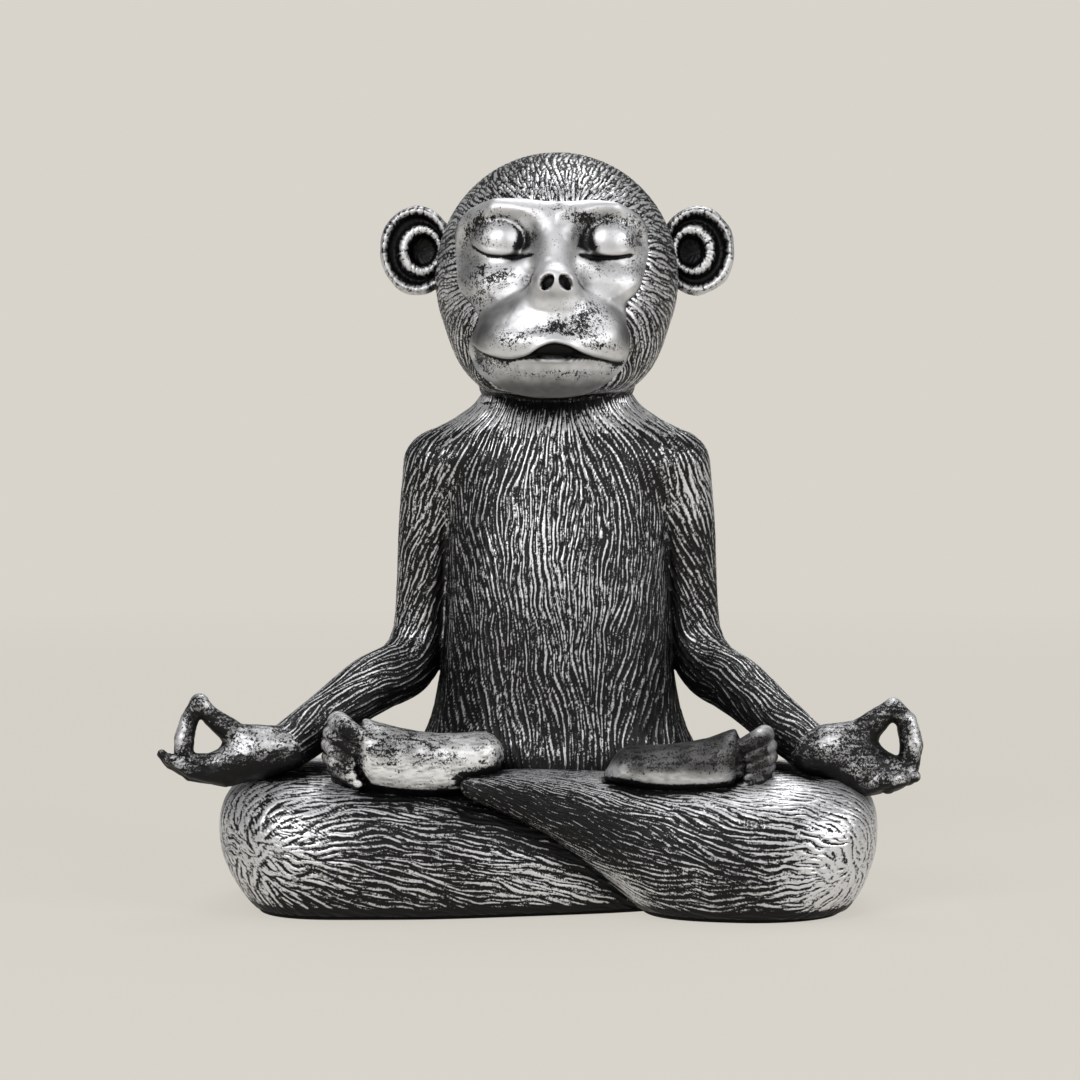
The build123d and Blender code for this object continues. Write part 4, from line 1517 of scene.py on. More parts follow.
@dataclass
class Ear:
    """Flat round ear with a rim, a groove, an inner ring and a hole."""

    side: Side
    surroundings: Distance
    middle: tuple = (45.6, 2.0, 209.0)
    # Half width, half height and depth of rings, from the bottom of the hole to the back
    rings: tuple = (
        (0.05, 0.05, 6.6), (3.0, 3.4, 6.4), (4.0, 4.6, 5.2), (4.3, 5.0, 2.4), (4.8, 5.5, 0.9),
        (5.8, 6.7, 0.3), (6.8, 7.9, 0.8), (7.4, 8.7, 2.6), (8.1, 9.7, 3.6), (8.9, 10.7, 2.8),
        (9.5, 11.5, 0.8), (10.5, 12.7, -0.2), (11.7, 13.9, 0.5), (12.25, 14.5, 2.4),
        (12.0, 14.2, 4.8), (10.6, 12.6, 7.2), (7.0, 8.4, 8.8), (0.05, 0.05, 9.2),
    )
    # Silver on each of those rings
    silver: tuple = (
        -0.3, -0.3, -0.3, -0.2, 0.25, 0.5, 0.45, 0.0, -0.2,
        -0.15, 0.2, 0.5, 0.5, 0.4, 0.3, 0.25, 0.2, 0.2,
    )
    # How far outwards the hole lies, against the rim
    hole_shift: float = -2.0
    # Share of the way from the middle to the rim, and depth of the front there
    front: tuple = (
        (0, 6.4), (0.32, 6.0), (0.40, 1.2), (0.50, 0.3), (0.58, 1.8), (0.66, 2.8), (0.74, 1.8),
        (0.84, -0.1), (0.95, 0.5), (1.0, 2.4),
    )
    # Distance between samples, and the radius that those round the ear are spread for
    step: float = 0.42
    typical: float = 13.4

    def build(self) -> bpy.types.Object:
        """Makes the ear.

        Returns:
            The finished piece.
        """
        scale = fineness()
        table = spline(np.array(self.rings), 400)
        places = spread_evenly(table, self.step * scale)
        rows = look_up(places, np.arange(len(table)), table)
        half_width, half_height, depth = rows.T[..., None]
        turn = ring_of(self.typical, self.step * scale)
        shift = smooth_step(9.5, 5.5, half_width) * (depth < 6.7) * self.hole_shift
        cx, cy, cz = self.middle
        points = np.empty((len(rows), len(turn), 3))
        points[..., 0] = (cx + shift + half_width * np.cos(turn)) * self.side.value
        points[..., 1] = cy + depth
        points[..., 2] = cz + half_height * np.sin(turn)
        if self.side is Side.LEFT:
            points = points[:, ::-1]
        skin = Skin(points)
        bumps = 0.4 * grain(skin.points, 5.0, 111)
        skin.points = skin.points + skin.normals() * bumps[..., None]
        radial = skin.points - np.array([cx * self.side.value, 0.0, cz])
        radial[..., 1] = 0.0
        skin.comb(flatten(radial, skin.normals()), 3.0 + 0 * points[..., 0], 0.95, 112)
        shade = openness(skin.points, skin.normals(), self.own_and_around)
        ring = places / (len(table) - 1) * (len(self.rings) - 1)
        silver = np.interp(ring, np.arange(len(self.rings)), self.silver)
        uneven = 1.0 + 0.5 * grain(skin.points, 4.0, 113)
        # Less silver in the groove and hole, by their openness, as painted shade
        skin.cover = silver[:, None] * uneven * (0.4 + 0.6 * shade)
        skin.tone = smooth_step(-0.1, 0.45, skin.cover)
        skin.raise_hair(0.16)
        skin.cap()
        return skin.to_object(f"{self.side.word}_ear")

    def own_and_around(self, points: Array) -> Array:
        """Distance to the head, and to the groove and hole of the ear itself.

        Args:
            points: Points, with X, Y and Z last.

        Returns:
            Distance at each point.
        """
        cx, cy, cz = self.middle
        half_width, half_height = 12.25, 14.5
        across = (points[..., 0] - self.side.value * cx) * self.side.value
        share = np.hypot(across / half_width, (points[..., 2] - cz) / half_height)
        top = np.interp(share, *np.transpose(self.front))
        own = np.where(share < 1.0, cy + top - points[..., 1], half_width * (share - 1.0))
        return np.minimum(own, self.surroundings(points))


# Hands and feet


@dataclass
class Modelled:
    """Small bare piece that starts as joined rods and is drawn on to its exact form."""

    name: str
    # Sign of X on the piece's side
    out: int
    surroundings: Distance
    # Bent rods: distance from the middle, Y, Z and radius of each joint
    chains: tuple
    # Width of the fillet where each rod joins what came before it
    softness: tuple
    # Distance from the middle, level, half width, half height and strength of places with more or
    # less silver: partly wear, partly painted highlights and painted shade
    patches: tuple
    # Silver on the level parts
    cover: float
    # Middle, radii and softness of egg-shaped hollows
    pits: tuple = ()
    lobe: Fold | None = None
    # How much each direction is shortened before the brush strokes are drawn
    stretch: tuple = (0.2, 1.0, 1.0)
    # Height of the relief, and how much brush strokes change the silver and its brightness
    roughness: float = 0.16
    scratches: float = 0.08
    streaks: float = 0.25
    # Silver added on open parts, kept out of crevices as painted shade, and taken off the underside
    # as painted shade
    sheen: float = 0.0
    under: float = 0.4
    # Size of the even faces that the piece is drawn from
    voxel: float = 0.45

    def distance(self, points: Array) -> Array:
        """Distance to the piece.

        Args:
            points: Points, with X, Y and Z last.

        Returns:
            Distance at each point.
        """
        form = np.full(points.shape[:-1], FAR) if self.lobe is None else self.lobe.distance(points)
        for chain, soft in zip(self.chains, self.softness):
            knots = np.array(chain, float) * (self.out, 1, 1, 1)
            form = merge(form, bent_rod(points, knots), soft)
        for place, radii, soft in self.pits:
            form = carve(form, egg(points * (self.out, 1, 1), place, radii), soft)
        return form

    def rough_mesh(self) -> bpy.types.Mesh:
        """Balls and cones joined into one skin of even, small faces.

        Returns:
            The mesh, in metres.
        """
        clay = bmesh.new()
        for chain in self.chains:
            knots = [(Vector((x * self.out, y, z)) * MM, radius * MM) for x, y, z, radius in chain]
            for place, radius in knots:
                spot = Matrix.Translation(place)
                bmesh.ops.create_icosphere(clay, subdivisions=3, radius=radius, matrix=spot)
            for (start, first), (end, second) in zip(knots, knots[1:]):
                along = end - start
                turn = along.to_track_quat("Z", "Y").to_matrix().to_4x4()
                bmesh.ops.create_cone(
                    clay,
                    cap_ends=True,
                    segments=24,
                    radius1=first,
                    radius2=second,
                    depth=along.length,
                    matrix=Matrix.Translation((start + end) / 2) @ turn,
                )
        if self.lobe is not None:
            half_width = 3.0
            for outwards, low, high, front, back in spline(np.array(self.lobe.rows), 26):
                place = Vector((outwards * self.out, (front + back) / 2, (low + high) / 2)) * MM
                size = half_width * MM, (back - front) / 2 * MM, (high - low) / 2 * MM, 1.0
                spot = Matrix.Translation(place) @ Matrix.Diagonal(size)
                bmesh.ops.create_icosphere(clay, subdivisions=3, radius=1.0, matrix=spot)
        mesh = bpy.data.meshes.new(self.name)
        clay.to_mesh(mesh)
        clay.free()
        lump = add_object(self.name + "_rough", mesh)
        remesh = lump.modifiers.new("even faces", "REMESH")
        remesh.mode = "VOXEL"
        remesh.voxel_size = self.voxel * fineness() * MM
        bpy.context.view_layer.update()
        shown = lump.evaluated_get(bpy.context.evaluated_depsgraph_get())
        even = bpy.data.meshes.new_from_object(shown)
        bpy.data.objects.remove(lump)
        return even

    def gradient(self, points: Array) -> Array:
        """Unit direction in which the distance grows fastest.

        Args:
            points: Points, with X, Y and Z last.

        Returns:
            The unit vectors.
        """
        step = 0.12
        slopes = []
        for axis in range(3):
            shift = np.zeros(3)
            shift[axis] = step
            slopes.append(self.distance(points + shift) - self.distance(points - shift))
        return unit(np.stack(slopes, axis=-1))

    def build(self) -> bpy.types.Object:
        """Makes the piece.

        Returns:
            The finished piece.
        """
        steps, pace = 7, 0.8
        mesh = self.rough_mesh()
        points = coordinates(mesh) / MM
        for _ in range(steps):
            points = points - pace * self.distance(points)[:, None] * self.gradient(points)
        normals = self.gradient(points)
        brush = points * np.asarray(self.stretch, float)
        strokes = grain(brush, 0.8, 131) + 0.5 * grain(brush, 0.45, 132)
        relief = self.roughness * (0.5 * strokes + grain(points, 2.6, 133))
        points = points + normals * relief[:, None]
        mesh.vertices.foreach_set("co", (points * MM).ravel())
        shade = openness(points, normals, self.around)
        # Lighter on upward faces as painted light from above, uneven at random, and darker in
        # hollows as painted shade
        cover = self.cover + 0.10 * normals[:, 2] + 0.06 * grain(points, 3.5, 134)
        cover = cover * smooth_step(0.25, 0.9, shade)
        outwards, up = points[:, 0] * self.out, points[:, 2]
        # Places with more or less silver, only where open to the front: partly wear, partly painted
        # highlights and shade
        reach = smooth_step(0.3, 0.0, normals[:, 1]) * smooth_step(0.1, 0.6, shade)
        for out, level, wide, high, amount in self.patches:
            away = ((outwards - out) / wide) ** 2 + ((up - level) / high) ** 2
            cover = cover + amount * np.exp(-away) * reach
        # Painted shade on the underside
        cover = cover - self.under * smooth_step(-0.3, -0.9, normals[:, 2])
        fine = grain(brush, 0.5, 135) + 0.6 * grain(brush * (0.6, 1, 1), 1.1, 136)
        tone = np.clip(smooth_step(-0.08, 0.42, cover) * (0.92 + self.streaks * fine), 0, 1)
        cover = cover + self.sheen * smooth_step(0.2, 0.6, shade) + self.scratches * strokes
        write_layers(mesh, {"ridge": strokes, "cover": cover, "tone": tone})
        for polygon in mesh.polygons:
            polygon.use_smooth = True
        mesh.name = self.name
        return add_object(self.name, mesh)

    def around(self, points: Array) -> Array:
        """Distance to the piece and to what is round it."""
        return np.minimum(self.distance(points), self.surroundings(points))


# Palm, thumb, index finger and the other fingers of each hand
LEFT_HAND_CHAINS = (
    (
        (80, -38, 50, 7.6), (90, -41, 49.5, 8.6), (97, -43, 44.8, 8.0), (104, -44, 44, 5.6),
        (108, -45, 43.8, 3.6),
    ),
    ((86, -41, 52, 6.8), (94, -42, 55.5, 5.0), (100, -43, 61, 3.6), (104, -43.5, 64.2, 2.9)),
    (
        (104, -43.5, 64.2, 2.9), (108.2, -44, 60, 3.3), (109.6, -44.5, 53, 3.6),
        (109, -44.5, 47, 3.3),
    ),
    ((96, -47, 41, 3.4), (101, -50, 42.6, 2.7)),
    ((102, -48, 41, 3.0), (106.3, -50, 43, 2.3)),
    ((104, -46, 41.5, 2.8), (110.3, -47.5, 43.4, 1.8)),
)
RIGHT_HAND_CHAINS = (
    (
        (85, -38, 51, 7.4), (94, -41, 49.5, 8.2), (101, -43, 46.6, 6.6), (108, -44, 46, 4.2),
        (113, -45, 47.5, 3.0),
    ),
    ((92, -41, 51.5, 6.4), (99.5, -42, 55.2, 4.2), (107, -43, 61, 3.0), (111.2, -43.5, 65.8, 2.6)),
    (
        (111.2, -43.5, 65.8, 2.6), (114.3, -44, 60.5, 2.8), (115.8, -44.5, 55, 3.1),
        (115.8, -45, 50, 3.0),
    ),
    ((104, -46, 43.5, 3.0), (113, -47.5, 45, 2.4), (118.5, -48, 48.5, 2.0)),
    ((103, -45, 42.6, 2.8), (114, -45, 43.6, 2.0), (120.5, -45.5, 48.6, 1.7)),
    (
        (102, -42, 42.2, 2.6), (113, -42.5, 43.2, 1.9), (120, -43, 46.6, 1.8),
        (122.8, -43.5, 49.8, 1.5),
    ),
)
HAND_SOFTNESS = (1.0, 3.0, 1.2, 0.6, 0.5, 0.5)

LEFT_SOLE = Fold(
    Side.RIGHT,
    (
        (16.8, 48.0, 51.0, -45.0, -41.0), (18.4, 45.0, 54.2, -49.0, -37.5),
        (22.5, 41.6, 56.6, -51.8, -35.0), (30.0, 38.6, 56.4, -53.2, -34.0),
        (38.0, 37.4, 56.4, -53.4, -34.0), (47.0, 37.4, 57.6, -53.8, -33.6),
        (55.0, 38.8, 59.6, -54.2, -33.4), (58.5, 40.6, 60.6, -53.4, -33.8),
        (60.5, 43.4, 60.4, -51.5, -35.0), (61.4, 48.0, 58.0, -47.0, -38.0),
    ),
    squareness=2.25,
)
RIGHT_SOLE = Fold(
    Side.LEFT,
    (
        (14.6, 41.4, 44.0, -46.0, -41.0), (17.5, 40.4, 48.8, -49.6, -37.0),
        (20.6, 39.9, 51.8, -51.8, -35.5), (27.0, 38.6, 52.6, -53.0, -34.5),
        (36.0, 37.4, 53.0, -53.2, -34.0), (45.6, 37.4, 54.6, -53.6, -33.8),
        (51.5, 38.2, 56.6, -54.2, -33.6), (54.0, 39.6, 57.4, -53.0, -34.0),
        (55.4, 42.0, 57.2, -50.6, -35.4), (56.2, 46.0, 55.0, -46.0, -39.0),
    ),
    squareness=2.25,
)


def toes(tips: tuple, run: tuple) -> tuple:
    """Toes that lie side by side and slant from their tips down to the ball of a foot.

    Args:
        tips: Distance from the middle, level and radius of each tip.
        run: Distance and level that a toe loses from its tip to its root.

    Returns:
        One bent rod for each toe.
    """
    inwards, down = run
    return tuple(
        (
            (out, -44.0, level, size),
            (out - 0.3 * inwards, -48.0, level - 0.25 * down, size * 1.02),
            (out - inwards, -48.6, level - down, size * 0.86),
        )
        for out, level, size in tips
    )


LEFT_TOES = toes(
    ((68.2, 60.0, 3.3), (70.4, 56.2, 2.5), (71.2, 52.6, 2.4), (71.0, 49.1, 2.3), (69.4, 46.2, 2.2)),
    (7.6, 5.0),
)
RIGHT_TOES = toes(
    ((64.2, 56.0, 3.0), (65.8, 52.4, 2.3), (66.2, 49.2, 2.2), (65.6, 46.0, 2.1), (64.2, 43.2, 2.0)),
    (7.0, 3.2),
)
# Rods inside the feet that seat them on the legs
LEFT_SEAT = ((24, -41, 41, 4.4), (49, -42.6, 40.6, 5.2), (66, -41, 42.5, 4.6))
RIGHT_SEAT = ((20, -41, 41, 4.0), (62, -41, 41.5, 4.4))
FOOT_SOFTNESS = (0.5, 0.5, 0.5, 0.5, 0.5, 3.0)


# Finishes


def linear(code: str) -> tuple[float, float, float, float]:
    """Linear colour of an sRGB hex code.

    Args:
        code: Six hex digits after a hash sign.

    Returns:
        Red, green, blue and alpha.
    """
    colour = []
    for place in (1, 3, 5):
        part = int(code[place : place + 2], 16) / 255
        colour.append(part / 12.92 if part <= 0.04045 else ((part + 0.055) / 1.055) ** 2.4)
    return *colour, 1.0


def empty_tree(owner: bpy.types.Material | bpy.types.World) -> bpy.types.NodeTree:
    """Turns on the nodes of a material or world and takes away the ones it starts with."""
    owner.use_nodes = True
    owner.node_tree.nodes.clear()
    return owner.node_tree


def add(
    tree: bpy.types.NodeTree, kind: str, settings: dict | None = None, **inputs: object
) -> bpy.types.Node:
    """Adds a node with its settings, values and links.

    Args:
        tree: Node tree to add to.
        kind: Type of the node.
        settings: Properties of the node.
        inputs: Value or output socket for each input; i0, i1 and so on mean inputs by number.

    Returns:
        The new node.
    """
    node = tree.nodes.new(kind)
    for key, value in (settings or {}).items():
        setattr(node, key, value)
    for key, value in inputs.items():
        by_number = key[0] == "i" and key[1:].isdigit()
        socket = node.inputs[int(key[1:]) if by_number else key.replace("_", " ")]
        if isinstance(value, bpy.types.NodeSocket):
            tree.links.new(value, socket)
        else:
            socket.default_value = value
    return node


@dataclass(frozen=True)
class Brushed:
    """Black cold-cast resin with silver lacquer dragged over its raised parts with a dry brush."""

    name: str
    slot: str
    silver: str = "#e0e0e2"
    # Silver under a thin dark wash, which also paints shade where the silver is dimmed
    washed_and_shaded: str = "#4b4a49"
    # Resin cast black in a silicone mould
    resin: str = "#060607"
    silver_roughness: float = 0.36
    resin_roughness: float = 0.46
    # Less than a whole metal, since the lacquer is metal flakes in a clear binder
    metallic: float = 0.7
    gloss: float = 0.25
    # Sizes of what the brush leaves, in millimetres: the grit of its flakes and its larger specks.
    # Real flakes are under 0.1, too fine to show, so the grit is as coarse as it needs to show.
    grit: float = 0.30
    speckle: float = 0.75
    # Weights of strokes, grit and specks in where the silver catches
    ridge_share: float = 1.0
    grit_share: float = 0.7
    speckle_share: float = 0.6
    # Level at which silver starts, weight of the cover values and width of the silver's edge
    bias: float = 0.1
    reach: float = 2.6
    softness: float = 0.5
    # Height of the grit's relief, in millimetres
    bump: float = 0.05

    def material(self) -> bpy.types.Material:
        """Makes the material.

        Returns:
            The new material.
        """
        material = bpy.data.materials.new(self.name)
        tree = empty_tree(material)
        place = add(tree, "ShaderNodeTexCoord").outputs["Object"]
        ridge, cover, tone = (
            add(tree, "ShaderNodeAttribute", {"attribute_name": label}).outputs["Fac"]
            for label in ("ridge", "cover", "tone")
        )
        grit, speckle = (
            add(
                tree, "ShaderNodeTexNoise", Vector=place, Scale=1 / (size * MM), Detail=1.0
            ).outputs["Fac"]
            for size in (self.grit, self.speckle)
        )
        gain = 4.0
        level = 0.0
        for socket, share in (
            (ridge, self.ridge_share),
            (grit, gain * self.grit_share),
            (speckle, gain * self.speckle_share),
            (cover, self.reach),
        ):
            level = add(
                tree, "ShaderNodeMath", {"operation": "MULTIPLY_ADD"}, i0=socket, i1=share, i2=level
            ).outputs[0]
        middle = gain / 2 * (self.grit_share + self.speckle_share) + self.reach / 2
        start = self.bias + middle
        paint = add(
            tree, "ShaderNodeMapRange", {"interpolation_type": "SMOOTHSTEP"},
            Value=level, From_Min=start, From_Max=start + 2 * self.softness,
        ).outputs["Result"]
        silver = add(
            tree, "ShaderNodeMix", {"data_type": "RGBA"},
            i0=tone, i6=linear(self.washed_and_shaded), i7=linear(self.silver),
        ).outputs[2]
        colour = add(
            tree, "ShaderNodeMix", {"data_type": "RGBA"}, i0=paint, i6=linear(self.resin), i7=silver
        ).outputs[2]
        metallic = add(
            tree, "ShaderNodeMath", {"operation": "MULTIPLY"}, i0=paint, i1=self.metallic
        ).outputs[0]
        roughness = add(
            tree, "ShaderNodeMapRange",
            Value=paint, To_Min=self.resin_roughness, To_Max=self.silver_roughness,
        ).outputs["Result"]
        bump = add(
            tree, "ShaderNodeBump", Strength=1.0, Distance=self.bump * MM, Height=grit
        ).outputs["Normal"]
        shader = add(
            tree, "ShaderNodeBsdfPrincipled", Base_Color=colour, Metallic=metallic,
            Roughness=roughness, Specular_IOR_Level=self.gloss, Normal=bump,
        )
        add(tree, "ShaderNodeOutputMaterial", Surface=shader.outputs["BSDF"])
        return material


@dataclass(frozen=True)
class Plain:
    """A single material with a fine mottle in its colour and a fine relief."""

    name: str
    light: str
    dark: str
    roughness: float
    # Size of the mottle and height of its relief, in millimetres
    mottle: float
    bump: float
    # How much each direction is shortened in the mottle
    stretch: tuple = (1.0, 1.0, 1.0)
    metallic: float = 0.0

    def material(self) -> bpy.types.Material:
        """Makes the material.

        Returns:
            The new material.
        """
        material = bpy.data.materials.new(self.name)
        tree = empty_tree(material)
        place = add(tree, "ShaderNodeTexCoord").outputs["Object"]
        turned = add(tree, "ShaderNodeMapping", Vector=place, Scale=self.stretch).outputs["Vector"]
        scale = 1 / (self.mottle * MM)
        noise = add(tree, "ShaderNodeTexNoise", Vector=turned, Scale=scale, Detail=3.0)
        noise = noise.outputs["Fac"]
        colour = add(
            tree, "ShaderNodeMix", {"data_type": "RGBA"},
            i0=noise, i6=linear(self.dark), i7=linear(self.light),
        ).outputs[2]
        bump = add(
            tree, "ShaderNodeBump", Strength=1.0, Distance=self.bump * MM, Height=noise
        ).outputs["Normal"]
        shader = add(
            tree, "ShaderNodeBsdfPrincipled", Base_Color=colour, Metallic=self.metallic,
            Roughness=self.roughness, Normal=bump,
        )
        add(tree, "ShaderNodeOutputMaterial", Surface=shader.outputs["BSDF"])
        return material


# Cast resin whose modelled strokes were dry-brushed: bright broken strokes over near-black grooves
FUR = Brushed("black cast resin, fur dry-brushed in silver", "brushed_fur")
# Cast resin that silver was rubbed on to with a cloth: satin, with wear that breaks up into specks
SKIN = Brushed(
    "black cast resin, rubbed with silver",
    "polished_skin",
    silver_roughness=0.47,
    metallic=0.8,
    ridge_share=0.45,
    grit_share=0.9,
    speckle_share=0.9,
    bias=-1.7,
    reach=5.0,
    softness=0.45,
    bump=0.08,
)
# The same made paler and less metallic, with streaks along the sole: a lit copy that paints light
# on the left sole
LIT_SOLE = replace(
    SKIN,
    name="black cast resin, sole painted lit",
    silver="#f4f4f4",
    washed_and_shaded="#565554",
    silver_roughness=0.45,
    metallic=0.5,
)

LENGTHWISE = (1.0, 1.0, 0.1)
# Finishes of the nodes that stay as the casting has them, with the nodes' names
NODE_FINISHES = (
    # Cast in a silicone mould: a dull sheen, with faint clouds about 1 mm across
    (Plain("black cast resin, bare", "#141416", "#09090a", 0.42, 1.2, 0.02), ("base_plate",)),
    # Moulded in a polished steel mould: matt and even, with hardly any grain
    (Plain("soft black rubber", "#131313", "#0a0a0a", 0.6, 0.8, 0.02), ("vent_plug",)),
    # Pressed wool: no gloss at all, and tufts of fibres about a third of a millimetre across
    (Plain("black wool felt", "#1c1c1d", "#060606", 0.95, 0.35, 0.15), ("base_felt",)),
    # Turned rod: pale wood with its grain along the rod, in lines just under 1 mm wide
    (
        Plain("beech dowel", "#c79c6b", "#a97f52", 0.6, 0.9, 0.03, LENGTHWISE),
        ("neck_dowel", "left_shoulder_dowel", "right_shoulder_dowel"),
    ),
    # Drawn through a die: grey metal with a half-bright sheen and fine marks along the wire
    (
        Plain("drawn steel wire", "#a3a3a3", "#8a8a8a", 0.35, 0.6, 0.01, LENGTHWISE, 1.0),
        ("left_wrist_pin", "right_wrist_pin", "left_foot_pin", "right_foot_pin"),
    ),
)


# Stage


@dataclass
class Studio:
    """Pale level floor, soft lamps, world and camera."""

    floor_colour: str = "#d8d4cb"
    # Half the floor's width, in metres
    floor_size: float = 6.0
    # Strength of the even light from all round
    world_strength: float = 0.17
    # Name, place, width in metres and power in watts of each lamp, and the place they point at
    lamps: tuple = (
        ("key_lamp", (-0.8, -1.5, 1.15), 1.1, 23.0),
        ("side_lamp", (1.4, -1.0, 0.9), 1.0, 14.0),
        ("top_lamp", (0.2, 0.6, 1.9), 1.2, 14.0),
    )
    lamps_aim: tuple = (0.0, 0.0, 0.12)
    # Place in millimetres, degrees below level, and lens and film in millimetres
    camera_place: tuple = (-5.5, -900.0, 146.0)
    camera_pitch: float = 1.986
    lens: float = 92.3
    film: float = 36.0

    def build(self) -> None:
        """Makes everything round the object."""
        sheet = bmesh.new()
        bmesh.ops.create_grid(sheet, x_segments=1, y_segments=1, size=self.floor_size)
        mesh = bpy.data.meshes.new("floor")
        sheet.to_mesh(mesh)
        sheet.free()
        mesh.materials.append(self.backdrop())
        floor = add_object("floor", mesh)
        self.world()
        for lamp in self.lamps:
            self.lamp(*lamp)
        camera = add_object("camera", bpy.data.cameras.new("camera"))
        camera.data.lens = self.lens
        camera.data.sensor_width = self.film
        camera.location = Vector(self.camera_place) * MM
        camera.rotation_euler = (math.pi / 2 - math.radians(self.camera_pitch), 0.0, 0.0)
        bpy.context.scene.camera = camera
        bpy.context.scene.view_settings.view_transform = "Standard"

    def backdrop(self) -> bpy.types.Material:
        """Pale floor that looks evenly lit far off and keeps the object's shadow.

        Returns:
            The new material.
        """
        material = bpy.data.materials.new("pale studio floor")
        tree = empty_tree(material)
        path = add(tree, "ShaderNodeLightPath")
        seen = path.outputs["Is Camera Ray"]
        for ray in ("Is Glossy Ray", "Is Transmission Ray"):
            seen = add(
                tree, "ShaderNodeMath", {"operation": "MAXIMUM"}, i0=seen, i1=path.outputs[ray]
            ).outputs[0]
        place = add(tree, "ShaderNodeTexCoord").outputs["Object"]
        away = add(tree, "ShaderNodeVectorMath", {"operation": "LENGTH"}, i0=place).outputs["Value"]
        plain = add(
            tree, "ShaderNodeMapRange",
            Value=away, From_Min=0.3, From_Max=1.6, To_Min=0.8, To_Max=1.0,
        ).outputs["Result"]
        share = add(tree, "ShaderNodeMath", {"operation": "MULTIPLY"}, i0=seen, i1=plain).outputs[0]
        matt = add(tree, "ShaderNodeBsdfDiffuse", Color=linear(self.floor_colour))
        glow = add(tree, "ShaderNodeEmission", Color=linear(self.floor_colour), Strength=1.0)
        mixed = add(tree, "ShaderNodeMixShader", i0=share, i1=matt.outputs[0], i2=glow.outputs[0])
        add(tree, "ShaderNodeOutputMaterial", Surface=mixed.outputs[0])
        return material

    def world(self) -> None:
        """Even light from all round, and the backdrop's colour behind the object.

        Gloss takes the even light, because the silver is dark towards whatever is unlit.
        """
        world = bpy.data.worlds.new("studio")
        tree = empty_tree(world)
        path = add(tree, "ShaderNodeLightPath")
        seen = add(
            tree, "ShaderNodeMath", {"operation": "MAXIMUM"},
            i0=path.outputs["Is Camera Ray"], i1=path.outputs["Is Transmission Ray"],
        ).outputs[0]
        white = (1.0, 1.0, 1.0, 1.0)
        light = add(tree, "ShaderNodeBackground", Color=white, Strength=self.world_strength)
        sky = add(tree, "ShaderNodeBackground", Color=linear(self.floor_colour), Strength=1.0)
        mixed = add(tree, "ShaderNodeMixShader", i0=seen, i1=light.outputs[0], i2=sky.outputs[0])
        add(tree, "ShaderNodeOutputWorld", Surface=mixed.outputs[0])
        bpy.context.scene.world = world

    def lamp(self, name: str, place: tuple, size: float, power: float) -> None:
        """Adds a round lamp that points at the object.

        Args:
            name: Name of the lamp.
            place: Where it hangs, in metres.
            size: Width of its disc, in metres.
            power: Its power in watts.
        """
        data = bpy.data.lights.new(name, "AREA")
        data.shape = "DISK"
        data.size = size
        data.energy = power
        lamp = add_object(name, data)
        lamp.location = place
        aim = Vector(self.lamps_aim) - Vector(place)
        lamp.rotation_euler = aim.to_track_quat("-Z", "Y").to_euler()


# Everything together


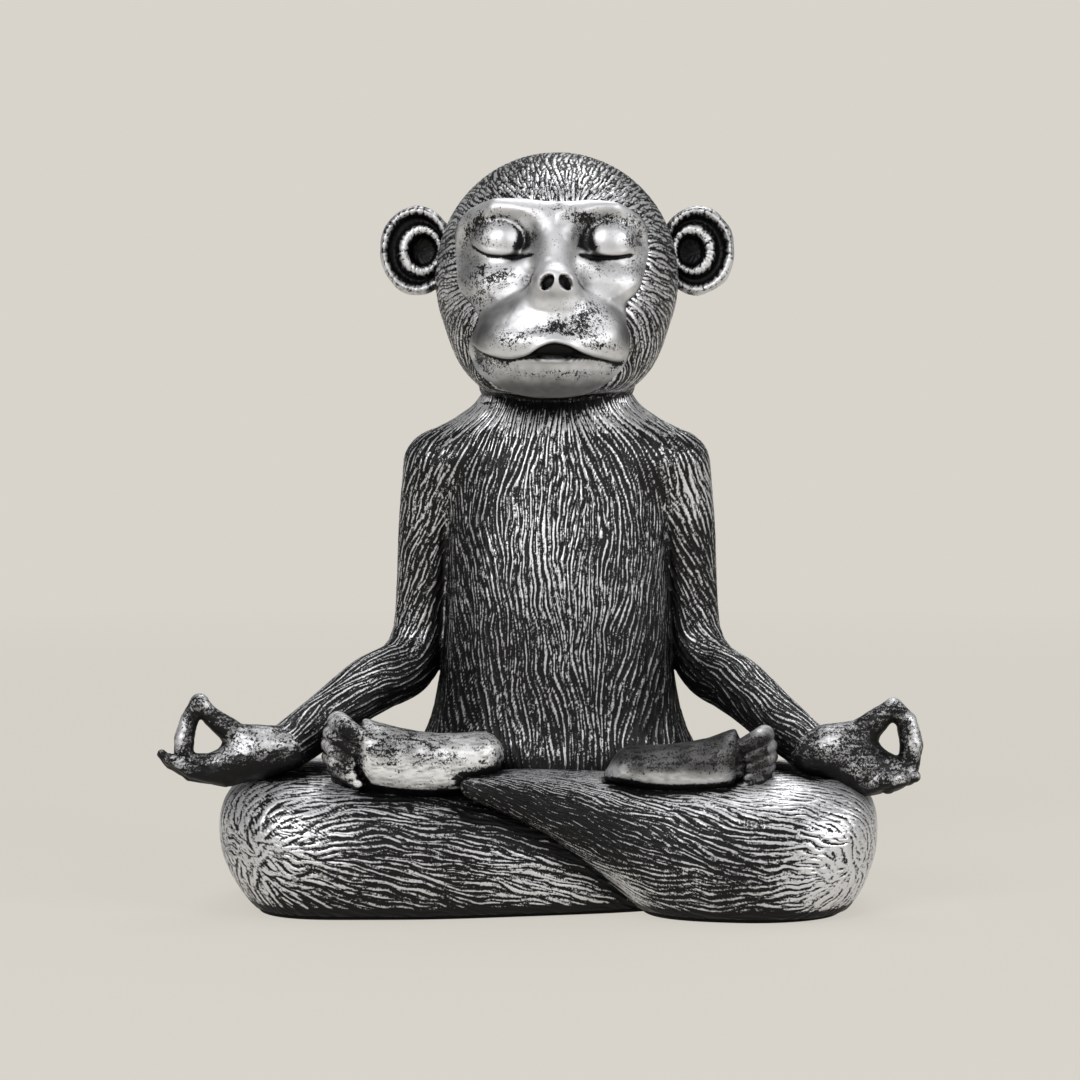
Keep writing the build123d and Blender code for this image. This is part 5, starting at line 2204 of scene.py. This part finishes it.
@dataclass
class Monkey:
    """All pieces of the figurine, with their finishes."""

    figure: Figure = field(default_factory=Figure)
    mask: Mask = field(default_factory=Mask)

    def surroundings(self, points: Array) -> Array:
        """Rough distance to the whole figure, for shadows and paint.

        Args:
            points: Points, with X, Y and Z last.

        Returns:
            Distance at each point.
        """
        distance = np.minimum(self.figure.trunk_distance(points), self.figure.head_distance(points))
        for side in Side:
            distance = np.minimum(distance, self.figure.arm_distance(points, side))
        for lobe in (LEFT_FOLD, RIGHT_FOLD, LEFT_SOLE, RIGHT_SOLE):
            distance = np.minimum(distance, lobe.distance(points))
        return distance

    def hands(self) -> list[Modelled]:
        """Both hands, with silver where fingers and thumb stand out, and painted highlights and
        shade.

        Returns:
            The makers of the left and the right hand.
        """
        around = self.surroundings
        left = Modelled(
            "left_hand", Side.LEFT.value, around, LEFT_HAND_CHAINS, HAND_SOFTNESS,
            # Partly wear on the edges of fingers and thumb, partly painted highlights and shade
            patches=(
                (84, 55, 4, 4, 0.18), (92, 45, 3, 6, 0.14), (110.5, 57, 2.0, 8, 0.3),
                (104, 67, 4, 2.0, 0.2), (104, 42.5, 7, 2.5, 0.14), (97, 53, 6, 7, -0.08),
            ),
            cover=0.12,
        )
        right = Modelled(
            "right_hand", Side.RIGHT.value, around, RIGHT_HAND_CHAINS, HAND_SOFTNESS,
            # Partly wear on the edges of fingers and thumb, partly painted highlights and shade
            patches=(
                (91, 53.5, 9, 3.0, 0.24), (103, 51, 6, 4, 0.12), (117, 58, 1.6, 9, 0.34),
                (109, 66, 5, 2.4, 0.16), (98, 44, 14, 3.5, -0.2), (119, 47, 4, 3, 0.14),
            ),
            cover=0.10,
            pits=(((116.3, -48.4, 48.8), (1.5, 2.0, 1.5), 0.5),),
        )
        return [left, right]

    def feet(self) -> list[Modelled]:
        """Both feet, each on the other side's thigh, with silver along the sole and the toes,
        partly painted highlights and shade.

        Returns:
            The makers of the left and the right foot.
        """
        around = self.surroundings
        left = Modelled(
            "left_foot", Side.RIGHT.value, around, (*LEFT_TOES, LEFT_SEAT), FOOT_SOFTNESS,
            lobe=LEFT_SOLE,
            # Painted highlights along the sole's bottom and the ball, and painted shade on the
            # upper sole and toes
            patches=(
                (42, 41.5, 19, 6.0, 0.36), (57, 42.0, 6, 5, 0.26), (59, 52, 2.2, 6, 0.04),
                (24, 49, 6, 4, 0.16), (71, 53, 1.6, 8, 0.10), (68, 61, 4, 2, 0.06),
                (48, 56, 14, 4, -0.10), (66, 53, 3, 7, -0.20),
            ),
            cover=0.17, stretch=(0.25, 1.0, 1.0), roughness=0.10, scratches=0.14, streaks=0.5,
            sheen=0.08, under=0.1,
        )
        right = Modelled(
            "right_foot", Side.LEFT.value, around, (*RIGHT_TOES, RIGHT_SEAT), FOOT_SOFTNESS,
            lobe=RIGHT_SOLE,
            # Painted highlights along the sole's bottom, at the heel, the ball and the toes
            patches=(
                (36, 42.0, 17, 3.0, 0.62), (18, 45.0, 4, 2.5, 0.40), (51, 45, 3.0, 4, 0.12),
                (66.5, 50, 1.4, 8, 0.34), (63, 58, 4, 1.6, 0.3),
            ),
            cover=-0.08, stretch=(0.3, 1.0, 1.0), roughness=0.05, scratches=0.06, streaks=0.4,
            sheen=0.30, under=0.1,
        )
        return [left, right]

    def build(self) -> None:
        """Makes every piece and gives it its place in the frame."""
        figure, mask, around = self.figure, self.mask, self.surroundings
        makers = [
            (Trunk(figure, around), "torso_casting", FUR),
            (Head(figure, around, mask), "head_casting", FUR),
            (Face(figure, around, mask), "head_casting", SKIN),
            *((Arm(figure, around, side), f"{side.word}_arm", FUR) for side in Side),
            (Leg(LEFT_FOLD, around), "left_leg", FUR),
            (Leg(RIGHT_FOLD, around), "right_leg", FUR),
            *((Ear(side, around), f"{side.word}_ear", SKIN) for side in Side),
            *((hand, hand.name, SKIN) for hand in self.hands()),
            *((foot, foot.name, finish) for foot, finish in zip(self.feet(), (LIT_SOLE, SKIN))),
        ]
        materials = {finish: finish.material() for finish in (FUR, LIT_SOLE, SKIN)}
        for maker, node, finish in makers:
            piece = maker.build()
            piece.data.materials.clear()
            piece.data.materials.append(materials[finish])
            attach(piece, BODY)
            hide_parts(node)
            LOG.info("%s: %d faces", piece.name, len(piece.data.polygons))


def dress_nodes(frame: dict) -> None:
    """Gives the CAD nodes that stay visible their finishes.

    Args:
        frame: The loaded frame.
    """
    for finish, names in NODE_FINISHES:
        material = finish.material()
        for name in names:
            slots = frame["nodes"][name].data.materials
            slots.clear()
            slots.append(material)


def main() -> None:
    """Builds the dressed figurine on the frame."""
    logging.basicConfig(level=logging.INFO, format="%(name)s %(message)s")
    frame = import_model()
    Monkey().build()
    dress_nodes(frame)
    Studio().build()


if __name__ == "__main__":
    main()
